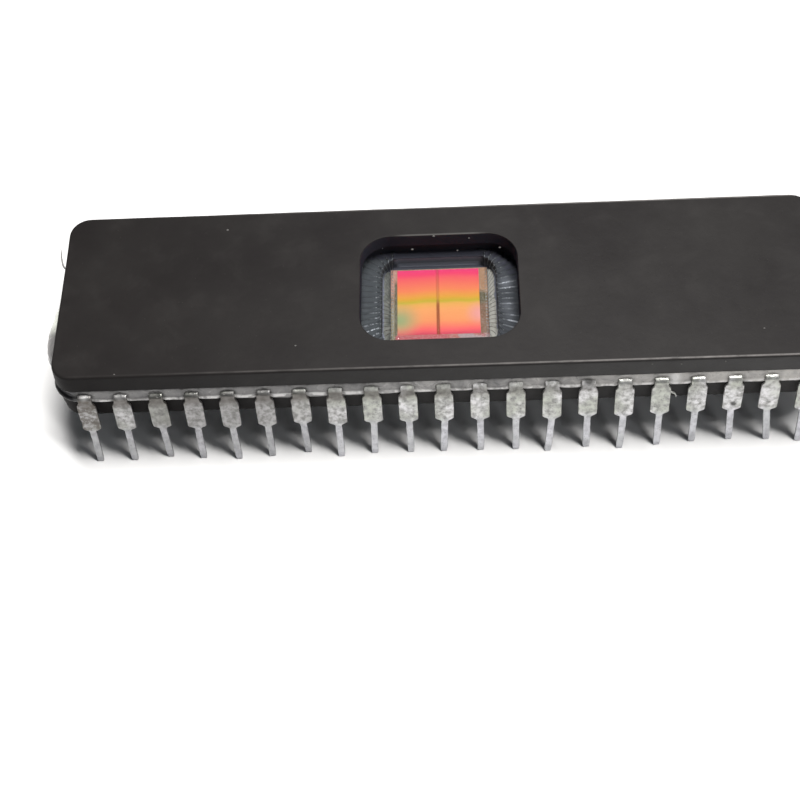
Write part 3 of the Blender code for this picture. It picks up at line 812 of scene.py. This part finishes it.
lead = {
    "perRow": 21,
    "pitch": 2.54,
    "rowSpacing": 15.24,
    "shift": 0.15,
    "splay": math.radians(9),
    "thickness": 0.25,
    "bendRadius": 0.25,
    "neckHeight": 0.165,
    "flareHeight": 0.4,
    "paddleHeight": 2.2,
    "shoulderHeight": 0.3,
    "pinLength": 3.1,
    "taper": 0.4,
    "flare": 0.16,
    "neck": 0.98,
    "paddle": 1.34,
    "pin": 0.5,
    "tip": 0.42,
    "sealWidth": 0.95,
    "inner": 0.5,
    "elbow": 0.24,
    "finger": 0.2,
    "fingerPitch": 0.45,
    "setback": 0.13,
    "longest": 4.0,
    "shortest": 0.4,
    "fanAngle": math.radians(60),
    "fanPower": 1.4,
    "round": 0.07,
    "lumps": 0.022,
    "flatPoints": 7,
    "bendSteps": 8,
    "downSteps": 60,
}

# Tips knocked sideways and outwards, front row from the left
bentTips = {3: (0.1, -0.2), 5: (0.1, 0.15), 7: (0.1, -0.25), 8: (0.0, 0.2), 9: (-0.1, 0.0), 11: (-0.15, 0.0),
            14: (-0.25, 0.25), 16: (-0.15, 0.2), 18: (0.0, -0.2), 19: (0.15, -0.3), 20: (0.3, -0.2)}

# Hurt places, front row from the left: place across, height, reach and depth
hurtPlaces = {
    1: ((-0.62, 3.95, 0.42, 0.22), (-0.2, 4.4, 0.2, 0.05), (0.45, 5.3, 0.3, 0.06)),
    4: ((0.1, 5.0, 0.25, 0.05),),
    7: ((-0.55, 5.1, 0.25, 0.08),),
    19: ((0.12, 4.05, 0.24, 0.13), (0.05, 2.6, 0.25, 0.1)),
}

eachWay = lead["perRow"] // 2
pins = range(1, 2 * lead["perRow"] + 1)
paddleLow = lead["pinLength"] + lead["shoulderHeight"]
paddleHigh = paddleLow + lead["paddleHeight"]
bendLow = paddleHigh + lead["flareHeight"] + lead["neckHeight"]
leadPlane = bendLow + lead["bendRadius"] * (1 - math.sin(lead["splay"]))
leadHigh = leadPlane + lead["thickness"] / 2
tipsHalf = tuple(half + lead["setback"] for half in baseShape["recessHalf"])
tipsCorner = baseShape["recessCorner"] + lead["setback"]


# Row, side of the window, x, and how many leads from the middle one of its side
def pinPlace(pin):
    middle = lead["perRow"] + 1
    row = 1 if pin < middle else -1
    column = eachWay + 1 - pin if row > 0 else pin - middle - eachWay
    left = middle - eachWay <= pin <= middle + eachWay
    rank = abs(pin - middle) if left else min(pin - 1, len(pins) + 1 - pin)
    return row, (-1 if left else 1), lead["shift"] + column * lead["pitch"], rank


def fingertip(row, side, rank):
    along = rank * lead["fingerPitch"]
    straight = tipsHalf[1] - tipsCorner
    turn = max(0.0, along - straight) / tipsCorner
    if turn:
        tip = Vector((tipsHalf[0] - tipsCorner, straight))
        tip += Vector((math.cos(turn), math.sin(turn))) * tipsCorner
    else:
        tip = Vector((tipsHalf[0], along))
    share = rank / eachWay
    angle = lead["fanAngle"] * share ** lead["fanPower"]
    away = Vector((math.cos(angle), math.sin(angle)))
    reach = lead["longest"] + (lead["shortest"] - lead["longest"]) * share
    place = Vector((side, row))
    return tip * place, away * place, reach


def flatRoute(pin):
    row, side, x, rank = pinPlace(pin)
    tip, away, reach = fingertip(row, side, rank)
    corner = Vector((x, row * (bodyHalf[1] - lead["sealWidth"])))
    bend = Vector((x, row * (lead["rowSpacing"] / 2 - lead["bendRadius"])))
    widths = [lead[key] for key in ("finger", "elbow", "inner", "neck")]
    return [tip, tip + away * reach, corner, bend], widths


# Middle, way across and half width at each corner of a flat strip, mitred
def mitred(points, widths):
    out = []
    last = len(points) - 1
    for i, point in enumerate(points):
        before = (points[max(i, 1)] - points[max(i, 1) - 1]).normalized()
        after = (points[min(i, last - 1) + 1] - points[min(i, last - 1)]).normalized()
        across = Vector((-(before + after).y, (before + after).x)).normalized()
        square = Vector((-before.y, before.x))
        out.append((point, across, widths[i] / 2 / across.dot(square)))
    return out


# Width of the pin below its bend at a height
def pinWidth(z):
    if z > paddleHigh:
        narrowing = eased((z - paddleHigh) / lead["flareHeight"])
        return lead["paddle"] + (lead["neck"] - lead["paddle"]) * narrowing
    if z > paddleLow:
        crown = 1 - ((z - paddleLow) / lead["paddleHeight"] * 2 - 1) ** 2
        return lead["paddle"] * (1 + 0.015 * crown)
    if z > lead["pinLength"]:
        shoulder = eased((z - lead["pinLength"]) / lead["shoulderHeight"])
        return lead["pin"] + (lead["paddle"] - lead["pin"]) * shoulder
    if z > lead["taper"]:
        return lead["pin"]
    return lead["tip"] + (lead["pin"] - lead["tip"]) * math.sqrt(max(0.0, z / lead["taper"]))


# Stations down a lead: middle, way across, way through the metal, half width, half thickness, how lumpy
def leadStations(pin):
    row, _, x, _ = pinPlace(pin)
    splay, radius, half = lead["splay"], lead["bendRadius"], lead["thickness"] / 2
    flatLumps = 0.15
    up = Vector((0, 0, 1))
    stations = []
    corners = mitred(*flatRoute(pin))
    for i, (place, across, width) in enumerate(corners):
        stations.append((Vector((*place, leadPlane)), Vector((*across, 0)), up, width, half, flatLumps))
        if i < len(corners) - 1:
            nextPlace, nextAcross, nextWidth = corners[i + 1]
            for share in (0.25, 0.5, 0.75):
                middle = Vector((*place.lerp(nextPlace, share), leadPlane))
                way = Vector((*across.lerp(nextAcross, share).normalized(), 0))
                stations.append((middle, way, up, width + (nextWidth - width) * share, half, flatLumps))
    sideways = Vector((1 if corners[-1][1].x > 0 else -1, 0, 0))
    bendCentre = Vector((x, row * (lead["rowSpacing"] / 2 - radius), leadPlane - radius))
    for i in range(1, lead["bendSteps"] + 1):
        angle = math.pi / 2 - (math.pi / 2 - splay) * i / lead["bendSteps"]
        through = Vector((0, row * math.cos(angle), math.sin(angle)))
        stations.append((bendCentre + through * radius, sideways, through, lead["neck"] / 2, half, 0.5))
    through = Vector((0, row * math.cos(splay), math.sin(splay)))
    outward = lead["rowSpacing"] / 2 - radius * (1 - math.cos(splay))
    knockX, knockY = bentTips.get(pin - lead["perRow"], (0.0, 0.0))
    tipLow = half * math.sin(splay)
    for i in range(1, lead["downSteps"] + 1):
        z = bendLow + (tipLow - bendLow) * i / lead["downSteps"]
        lean = max(0.0, 1 - z / lead["pinLength"])
        down = 1 - z / bendLow
        y = outward + (bendLow - z) * math.tan(splay) + knockY * down + lead["flare"] * down * down
        thin = 0.7 + 0.3 * math.sqrt(min(1.0, max(0.0, z / (lead["taper"] / 2))))
        middle = Vector((x + knockX * lean, row * y, z))
        stations.append((middle, sideways, through, pinWidth(z) / 2, half * thin, 1.0))
    return stations


# Section of the metal with round corners, as places across and through it
def sectionPoints(width, thick):
    corner = min(lead["round"], thick * 0.6)
    flat, spread = width - corner, lead["flatPoints"]
    points = []
    for side, start in ((1, 0.0), (-1, math.pi)):
        for i in range(spread):
            points.append((side * (flat - 2 * flat * (i + 1) / (spread + 1)), side * thick))
        for first, lift in ((math.pi / 2, thick - corner), (math.pi, corner - thick)):
            for j in range(4):
                angle = first + start + math.pi / 2 * j / 3
                across = side * -flat + corner * math.cos(angle)
                points.append((across, side * lift + corner * math.sin(angle)))
    return points


def makeLead(pin):
    row, _, x, _ = pinPlace(pin)
    hurt = hurtPlaces.get(pin - lead["perRow"], ())
    rings = []
    for middle, across, through, width, thick, lumpy in leadStations(pin):
        ringPoints = []
        for a, b in sectionPoints(width, thick):
            point = middle + across * a + through * b
            out = through * (1 if b > 0 else -1) if abs(b) > thick * 0.9 else (point - middle).normalized()
            lump = waver(point, 0.55) + 0.7 * waver(point, 0.22, 4.0) + 0.5 * waver(point, 0.11, 8.0)
            point = point + out * (lead["lumps"] * lumpy * lump)
            for place, height, reach, depth in hurt:
                gap = math.hypot(point.x - x - place, point.z - height)
                if gap < reach and b * row > -thick:
                    inward = across * (1 if a > 0 else -1) if abs(a) > width * 0.8 else through
                    point = point - inward * (depth * eased(1 - gap / reach))
            ringPoints.append(point)
        rings.append(ringPoints)
    name = f"stampedLead_{pin:02d}"
    addPiece(name, ringMesh(name, rings), tin, "tinned_lead", f"lead_{pin:02d}", smooth=60)


# Tube through points with a radius at each
def tubeMesh(name, points, radii, sides=8):
    rings = []
    last = len(points) - 1
    for i, point in enumerate(points):
        along = (points[min(i + 1, last)] - points[max(i - 1, 0)]).normalized()
        first = along.orthogonal() if i == 0 else first - along * first.dot(along)
        first.normalize()
        second = along.cross(first)
        angles = (2 * math.pi * j / sides for j in range(sides))
        rings.append([point + (first * math.cos(a) + second * math.sin(a)) * radii[i] for a in angles])
    return ringMesh(name, rings)


def curveThrough(points, each):
    out = []
    last = len(points) - 1
    for i in range(last):
        p0, p1, p2, p3 = points[max(i - 1, 0)], points[i], points[i + 1], points[min(i + 2, last)]
        for t in (j / each for j in range(each)):
            out.append(0.5 * ((2 * p1) + (p2 - p0) * t + (2 * p0 - 5 * p1 + 4 * p2 - p3) * t * t
                              + (3 * p1 - p0 - 3 * p2 + p3) * t ** 3))
    return out + [points[last]]


# A loose hair that thins towards its end, with a slight waver
def makeHair(name, places, shape, finish, slotName, sides=8):
    points = curveThrough(places, shape["each"])
    last = len(points) - 1
    radii = [shape["radius"] * (1 - 0.8 * (i / last)) * (1 + shape["waver"] * waver(p, shape["waverSize"]))
             for i, p in enumerate(points)]
    addPiece(name, tubeMesh(name, points, radii, sides), finish, slotName, smooth=70)


wire = {"radius": 0.016, "loop": 0.24, "foot": 0.22, "padInset": 0.16, "padEnd": 0.4, "press": 0.55,
        "bondLength": 0.08, "spread": 1.1}
padPitch = (dieBox[1].y - wire["padEnd"]) / eachWay


def padPlace(pin):
    row, side, _, rank = pinPlace(pin)
    return Vector((side * (dieBox[1].x - wire["padInset"]), row * rank * padPitch))


# A bond wire with its pressed feet, from the fingertip over the loop to the pad
def makeWire(pin):
    row, side, _, rank = pinPlace(pin)
    tip, away, _ = fingertip(row, side, rank)
    foot, pad = tip + away * wire["foot"], padPlace(pin)
    run = (pad - foot).normalized()
    radius, bond = wire["radius"], run * wire["bondLength"]
    padHigh = dieBox[1].z
    rest, loop = padHigh + radius, leadHigh + wire["loop"]
    corners = (
        (foot - bond, leadHigh + radius * 0.5),
        (foot, leadHigh + radius * 0.6),
        (foot.lerp(pad, 0.08), leadHigh + wire["loop"] * 0.4),
        (foot.lerp(pad, 0.3), loop),
        (foot.lerp(pad, 0.62), rest + (loop - rest) * 0.6),
        (foot.lerp(pad, 0.9), rest + 0.01),
        (pad, rest - radius * 0.4),
        (pad + bond, rest - radius * 0.4),
    )
    points = curveThrough([Vector((*place, z)) for place, z in corners], 4)
    name = f"bondWire_{pin:02d}"
    mesh = tubeMesh(name, points, [radius] * len(points))
    for vert in mesh.vertices:
        flat = Vector(vert.co[:2]) / mm
        for level, centre in ((leadHigh, foot - bond / 2), (padHigh, pad + bond / 2)):
            near = eased(1 - (flat - centre).length / (wire["bondLength"] * 1.1))
            if near > 0:
                vert.co.z = (level + (vert.co.z / mm - level) * (1 - near * wire["press"])) * mm
                offLine = (flat - centre) - run * (flat - centre).dot(run)
                vert.co.xy += offLine * near * wire["spread"] * mm
    addPiece(name, mesh, bondMetal, "tinned_lead", f"lead_{pin:02d}", smooth=60)


# A whisker of tin on one pin: places across and up its face
whisker = {"pin": 38, "places": ((0.45, 5.2), (0.72, 5.24), (0.95, 5.1), (1.07, 4.85), (1.08, 4.68)),
           "radius": 0.1, "waver": 0.3, "waverSize": 0.15, "each": 4}


def makeWhisker():
    row, _, x, _ = pinPlace(whisker["pin"])
    places = []
    for across, z in whisker["places"]:
        y = lead["rowSpacing"] / 2 + (bendLow - z) * math.tan(lead["splay"])
        places.append(Vector((x + across, row * y, z)))
    makeHair("tinWhisker", places, whisker, tin, "tinned_lead", 10)


for pin in pins:
    makeLead(pin)
    makeWire(pin)
makeWhisker()
print("leads stamped, wires bonded")


# Seal glass: the bead squeezed out of the seam, and the floor between the fingers

# The profile has a share of the height and how far out the glass stands there.
# A sag has its place along the front, half length and depth.
bead = {
    "step": 0.16,
    "low": 5.74,
    "high": 6.98,
    "profile": ((0.0, -0.04), (0.04, 0.07), (0.10, 0.16), (0.17, 0.23), (0.25, 0.265), (0.32, 0.25),
                (0.37, 0.2), (0.42, 0.15), (0.5, 0.115), (0.64, 0.1), (0.78, 0.09), (0.9, 0.06),
                (0.97, 0.02), (1.0, -0.05)),
    "deep": 1.5,
    "waver": 0.055,
    "lowWaver": 0.07,
    "sag": ((-9.0, 10.0, 0.2), (9.0, 4.0, 0.06)),
    "leadWet": 0.12,
    "wetReach": 0.85,
    "inNotch": 0.4,
    "cornerDip": {"place": (-27.3, -7.3), "reach": 2.6, "depth": 0.34},
    "lump": {"middle": -1.75, "halfLength": 3.1, "reach": 0.88, "skew": 0.22},
}


def gapToLead(x):
    column = round((x - lead["shift"]) / lead["pitch"])
    column = max(-eachWay, min(eachWay, column))
    return abs(x - lead["shift"] - column * lead["pitch"])


# How far the lump on the left end stands out
def lumpReach(place, share):
    lump = bead["lump"]
    along = (place.y - lump["middle"]) / lump["halfLength"]
    if place.x > -bodyHalf[0] + 0.3 or abs(along) >= 1:
        return 0.0
    along += lump["skew"] * (1 - along * along)
    swell = (1 - abs(along) ** 2.6) * math.sin(math.pi * min(1.0, max(0.0, share))) ** 0.6
    bumpy = 1 + 0.10 * waver((place.y, share * 2, 0), 0.9) + 0.05 * waver((place.y, share * 2, 5), 0.3)
    return lump["reach"] * swell * bumpy


# One point of the bead at a share of its height
def beadPoint(place, way, share, outset):
    lowEdge = bead["low"] + bead["lowWaver"] * waver(place, 0.8, 3.0)
    if way.y < -0.9:
        lowEdge -= sum(depth * eased(1 - abs(place.x - at) / width) for at, width, depth in bead["sag"])
    z = lowEdge + (bead["high"] - lowEdge) * share
    body = math.sin(math.pi * share)
    spot = (*place, z)
    off = outset + body * bead["waver"] * (waver(spot, 1.0) + 0.5 * waver(spot, 0.35, 7.0))
    if abs(way.y) > 0.9:
        off -= body * bead["leadWet"] * eased(1 - gapToLead(place.x) / bead["wetReach"])
    if place.x > bodyHalf[0] - 0.01 and abs(place.y) < lidShape["notch"] + 0.2:
        off *= bead["inNotch"]
    dip = bead["cornerDip"]
    off -= dip["depth"] * body * eased(1 - (place - Vector(dip["place"])).length / dip["reach"])
    return (*(place + way * (off + lumpReach(place, share))), z)


def makeBead():
    points = bodyOutline(bead["step"])
    rings = [[beadPoint(*point, share, outset) for point in points] for share, outset in bead["profile"]]
    hidden = [clearOfNotch(*point, bead["deep"]) for point in points]
    for z in (lidBox[0].z - 0.03, baseBox[1].z + 0.03):
        rings.append([(*spot, z) for spot in hidden])
    addPiece("sealBead", ringMesh("sealBead", rings, loop=True), sealGlass, "seal_glass", "seal_glass")


# The climb has an inset from the lid's hollow and how high the glass stands there.
glassFloor = {
    "under": 0.08,
    "rings": 30,
    "counts": (90, 34, 44),
    "climb": ((0.0, 0.40), (0.06, 0.27), (0.14, 0.14), (0.24, 0.05), (0.36, 0.0)),
    "wet": 0.06,
    "lip": 0.05,
    "waver": 0.012,
}


# Height of the glass beside the fingers: it climbs their sides, and lies level between them
def glassLift(places):
    lift = np.zeros(len(places))
    for pin in pins:
        route, widths = flatRoute(pin)
        for i in range(2):
            a, b = np.array(route[i]), np.array(route[i + 1])
            way = b - a
            t = np.clip(((places - a) @ way) / (way @ way), 0, 1)
            gap = np.linalg.norm(places - (a + t[:, None] * way), axis=1)
            gap -= (widths[i] + (widths[i + 1] - widths[i]) * t) / 2
            lift = np.maximum(lift, np.exp(-np.maximum(gap, 0) / glassFloor["wet"]))
    return lift


def makeGlassFloor():
    shape = glassFloor
    outer = windowOutline(lidShape["hollowMargin"], 0.1, shape["counts"])
    inner = outline(baseShape["recessHalf"], baseShape["recessCorner"], 0.1, counts=shape["counts"])
    level = leadHigh - shape["under"]
    low, high = baseBox[1].z + 0.01, lidBox[0].z
    rings = [ring(outer, -0.3, low), ring(outer, -0.3, high - 0.01)]
    for inset, rise in shape["climb"]:
        rings.append(ring(outer, inset, level + rise * (high - level) / shape["climb"][0][1]))
    start = [place - way * shape["climb"][-1][0] for place, way in outer]
    end = [place + way * shape["lip"] for place, way in inner]
    for k in range(1, shape["rings"] + 1):
        flat = [a.lerp(b, k / shape["rings"]) for a, b in zip(start, end)]
        lift = glassLift(np.array([tuple(p) for p in flat])) * (shape["under"] - 0.005)
        rings.append([(p.x, p.y, level + rise + shape["waver"] * waver(p, 0.5))
                      for p, rise in zip(flat, lift)])
    rings += [ring(inner, -0.02, level - 0.02), ring(inner, 0.0, level - 0.07), ring(inner, 0.01, low)]
    addPiece("sealFloor", ringMesh("sealFloor", rings, loop=True), sealGlass, "seal_glass", "seal_glass")


makeBead()
makeGlassFloor()
print("seal glass fused")


# Die, its circuits and its fillet

dieShape = {
    "chamfer": 0.02,
    "film": 0.006,
    "circuitInset": 0.035,
    "arrayX": (-3.07, 2.93),
    "arrayY": (-2.7, 3.2),
    "split": -0.115,
    "splitGap": 0.004,
    "pad": (0.09, 0.006),
    "fillet": {"left": 0.5, "right": 0.44, "rightFront": 0.62, "back": 0.22, "front": 0.34, "height": 0.2},
}
cellFilm = makeCellFilm()


# A plate from its low corner to its high corner, with a rounded edge
def makeSlab(name, low, high, edge, finish):
    bm = bmesh.new()
    bmesh.ops.create_cube(bm, size=1.0)
    for vert in bm.verts:
        vert.co = [(low[i] if vert.co[i] < 0 else high[i]) * mm for i in range(3)]
    bmesh.ops.bevel(bm, geom=bm.edges[:], offset=edge * mm, segments=2, profile=0.5, affect="EDGES")
    addPiece(name, meshFrom(bm, name), finish, "die_surface", "die", smooth=30, even=True)


def makePads():
    bm = bmesh.new()
    wide, thick = dieShape["pad"]
    for pin in pins:
        place = padPlace(pin)
        cube = bmesh.ops.create_cube(bm, size=1.0)["verts"]
        bmesh.ops.scale(bm, verts=cube, vec=(wide * mm, wide * mm, thick * mm))
        bmesh.ops.translate(bm, verts=cube, vec=Vector((*place, dieBox[1].z + thick / 2)) * mm)
    bmesh.ops.bevel(bm, geom=bm.edges[:], offset=0.002 * mm, segments=1, affect="EDGES")
    addPiece("bondPads", meshFrom(bm, "bondPads"), bondMetal, "tinned_lead", "die", smooth=0)


def makeDie():
    shape = dieShape
    low, high = dieBox
    makeSlab("siliconDie", low, high, shape["chamfer"], sawnSilicon)
    inset = Vector((shape["circuitInset"], shape["circuitInset"]))
    top = high.z
    corners = (*(low.xy + inset), top - 0.01), (*(high.xy - inset), top + 0.002)
    makeSlab("circuitLayer", *corners, 0.001, circuitStrip)
    (startX, endX), (startY, endY) = shape["arrayX"], shape["arrayY"]
    split, gap = shape["split"], shape["splitGap"]
    for name, left, right in (("cellArrayLeft", startX, split - gap), ("cellArrayRight", split + gap, endX)):
        makeSlab(name, (left, startY, top - 0.005), (right, endY, top + shape["film"]), 0.002, cellFilm)
    makePads()


def filletReach(place, way):
    fillet = dieShape["fillet"]
    if abs(way.x) > 0.5:
        if way.x < 0:
            return fillet["left"]
        share = (dieBox[1].y - place.y) / (dieBox[1].y - dieBox[0].y)
        return fillet["right"] + (fillet["rightFront"] - fillet["right"]) * share
    return fillet["back"] if way.y > 0 else fillet["front"]


def makeFillet():
    points = outline((dieBox[1].x, dieBox[1].y), 0.12, 0.08)
    floor = baseBox[1].z - baseShape["recessDepth"]
    height = dieShape["fillet"]["height"] + dieBox[0].z - floor
    hidden = ((0.3, 0.01), (0.3, 0.06), (0.01, 0.06))
    rings = [ring(points, inset, floor + rise) for inset, rise in hidden]
    for share in (0.0, 0.06, 0.15, 0.3, 0.5, 0.7, 0.86, 0.96, 1.0):
        row = []
        for place, way in points:
            rough = 1 + 0.28 * waver(place, 0.7) + 0.12 * waver(place, 0.2, 3.0)
            off = filletReach(place, way) * rough * share
            rise = height * (1 - share) ** 1.6 * (1 + 0.2 * waver(place, 0.5, 6.0) * (1 - share))
            lump = 0.03 * math.sin(math.pi * share) * waver((*place, share * 3), 0.25)
            row.append((*(place + way * (off + 0.005)), floor + 0.012 + rise + lump))
        rings.append(row)
    mesh = ringMesh("pasteFillet", rings, loop=True)
    addPiece("pasteFillet", mesh, paste, "die_attach", "die_attach", smooth=60)


makeDie()
makeFillet()
print("die attached")


# Lens

lens = {"gap": 0.02, "edge": 0.06, "below": 0.005}


def makeLens():
    edge = lens["edge"]
    points = windowOutline(-lens["gap"], 0.15)
    low, high = lensBox[0].z + 0.002, lensBox[1].z - lens["below"]
    rings = [ring(points, edge + 0.05, low), ring(points, 0.05, low + edge)]
    for inset, rise in quarterRound(edge, 4):
        rings.append(ring(points, inset, high - edge + rise))
    addPiece("lensPlate", ringMesh("lensPlate", rings), lensGlass, "clear_lens", "window_lens", even=True)


# Loose things that the photo shows: a hair of flash on the left end, and dust

flashHair = {"places": ((-27.6, 4.1, 6.2), (-28.08, 4.4, 6.35), (-28.3, 5.05, 6.45), (-28.42, 5.75, 6.5),
                        (-28.46, 6.0, 6.6)), "radius": 0.09, "waver": 0.25, "waverSize": 0.3, "each": 6}

# x, y and size of each fleck. Those on the front side of the lid have their height in place of y.
flecks = {
    "side": ((14.6, 8.05, 0.05), (16.6, 7.95, 0.06), (19.6, 8.1, 0.05)),
    "lid": ((-15.51, 5.67, 0.07), (-10.11, -5.04, 0.06), (-22.73, -7.0, 0.05), (22.5, -4.85, 0.06)),
    "lens": ((-1.85, 3.23, 0.07), (1.43, 2.99, 0.05), (4.5, 3.13, 0.07), (-0.28, 4.4, 0.08),
             (2.3, 4.1, 0.05)),
}


def makeFlecks():
    bm = bmesh.new()
    for where, places in flecks.items():
        for x, y, size in places:
            for vert in bmesh.ops.create_icosphere(bm, subdivisions=2, radius=size)["verts"]:
                vert.co *= 1 + 0.5 * waver(vert.co + Vector((x, y, 0)), size)
                across, flat, thick = vert.co.x * 1.3, vert.co.y, vert.co.z * 0.5
                if where == "side":
                    vert.co = Vector((x + across, -bodyHalf[1] + 0.08 + thick, y + flat)) * mm
                else:
                    vert.co = Vector((x + across, y + flat, lidBox[1].z + thick)) * mm
    addPiece("dustFlecks", meshFrom(bm, "dustFlecks"), dust, "dark_ceramic", smooth=70)


makeLens()
makeHair("flashHair", [Vector(place) for place in flashHair["places"]], flashHair, sealGlass, "seal_glass")
makeFlecks()
print("lens and loose bits placed")


# Floor, light and camera

paper = {"white": (0.74, 0.74, 0.74), "shade": (0.71, 0.71, 0.715), "radius": 700.0, "rim": 160.0,
         "rise": 60.0, "sides": 96}


def makeStage():
    finish, shader, place = newFinish("paper", Roughness=0.9, Specular_IOR_Level=0.1)
    feed(shader, Base_Color=mixColours(noiseOn(place, 0.02, 2.0), paper["shade"], paper["white"]))
    flat = paper["radius"] - paper["rim"]
    profile = [(flat * 0.5, 0.0), (flat, 0.0)]
    for angle in (math.pi / 2 * i / 8 for i in range(1, 9)):
        profile.append((flat + paper["rim"] * math.sin(angle), paper["rise"] * (1 - math.cos(angle))))
    bm = bmesh.new()
    middle = bm.verts.new((0, 0, 0))
    sides = paper["sides"]
    angles = [2 * math.pi * k / sides for k in range(sides)]
    rows = [[bm.verts.new((radius * mm * math.cos(a), radius * mm * math.sin(a), z * mm)) for a in angles]
            for radius, z in profile]
    for k in range(sides):
        after = (k + 1) % sides
        bm.faces.new((middle, rows[0][k], rows[0][after]))
        for inner, outer in zip(rows, rows[1:]):
            bm.faces.new((inner[k], outer[k], outer[after], inner[after]))
    mesh = meshFrom(bm, "paperFloor")
    mesh.shade_smooth()
    mesh.materials.append(finish)
    addObject("paperFloor", mesh)


lamps = {
    "overhead": {"place": (60, 62, 480), "size": (380, 62), "power": 4.7, "colour": (1.0, 0.985, 0.965)},
    "frontRight": {"place": (190, -300, 190), "size": (120, 120), "power": 0.2, "colour": (0.96, 0.98, 1.0)},
    "leftFill": {"place": (-380, -60, 330), "size": (200, 200), "power": 0.08, "colour": (0.94, 0.97, 1.0)},
    "backSheen": {"place": (330, 400, 520), "size": (260, 240), "power": 0.24, "colour": (1.0, 0.98, 0.97)},
}
room = {"Color": (0.6, 0.78, 1.0, 1.0), "Strength": 0.013}


def makeLamps():
    for name, look in lamps.items():
        light = bpy.data.lights.new(name, "AREA")
        light.shape = "RECTANGLE"
        light.size, light.size_y = (size * mm for size in look["size"])
        light.energy = look["power"]
        light.color = look["colour"]
        lamp = addObject(name, light)
        lamp.location = Vector(look["place"]) * mm
        lamp.rotation_euler = (-lamp.location).to_track_quat("-Z", "Y").to_euler()
    scene.world = bpy.data.worlds.new("room")
    scene.world.use_nodes = True
    for key, value in room.items():
        scene.world.node_tree.nodes["Background"].inputs[key].default_value = value


cameraPlace = {"at": (1.524, -68.197, 96.75), "turns": (("Z", 4.232), ("X", 33.525), ("Z", -5.313)),
               "lens": 69.921}


def makeCamera():
    camera = addObject("camera", bpy.data.cameras.new("camera"))
    aim = Matrix.Translation(Vector(cameraPlace["at"]) * mm)
    for axis, degrees in cameraPlace["turns"]:
        aim = aim @ Matrix.Rotation(math.radians(degrees), 4, axis)
    camera.matrix_world = aim
    camera.data.lens = cameraPlace["lens"]
    camera.data.clip_start = 0.005
    camera.data.clip_end = 10.0
    scene.camera = camera


makeStage()
makeLamps()
makeCamera()
scene.view_settings.view_transform = "Standard"
print("stage, lamps and camera set")
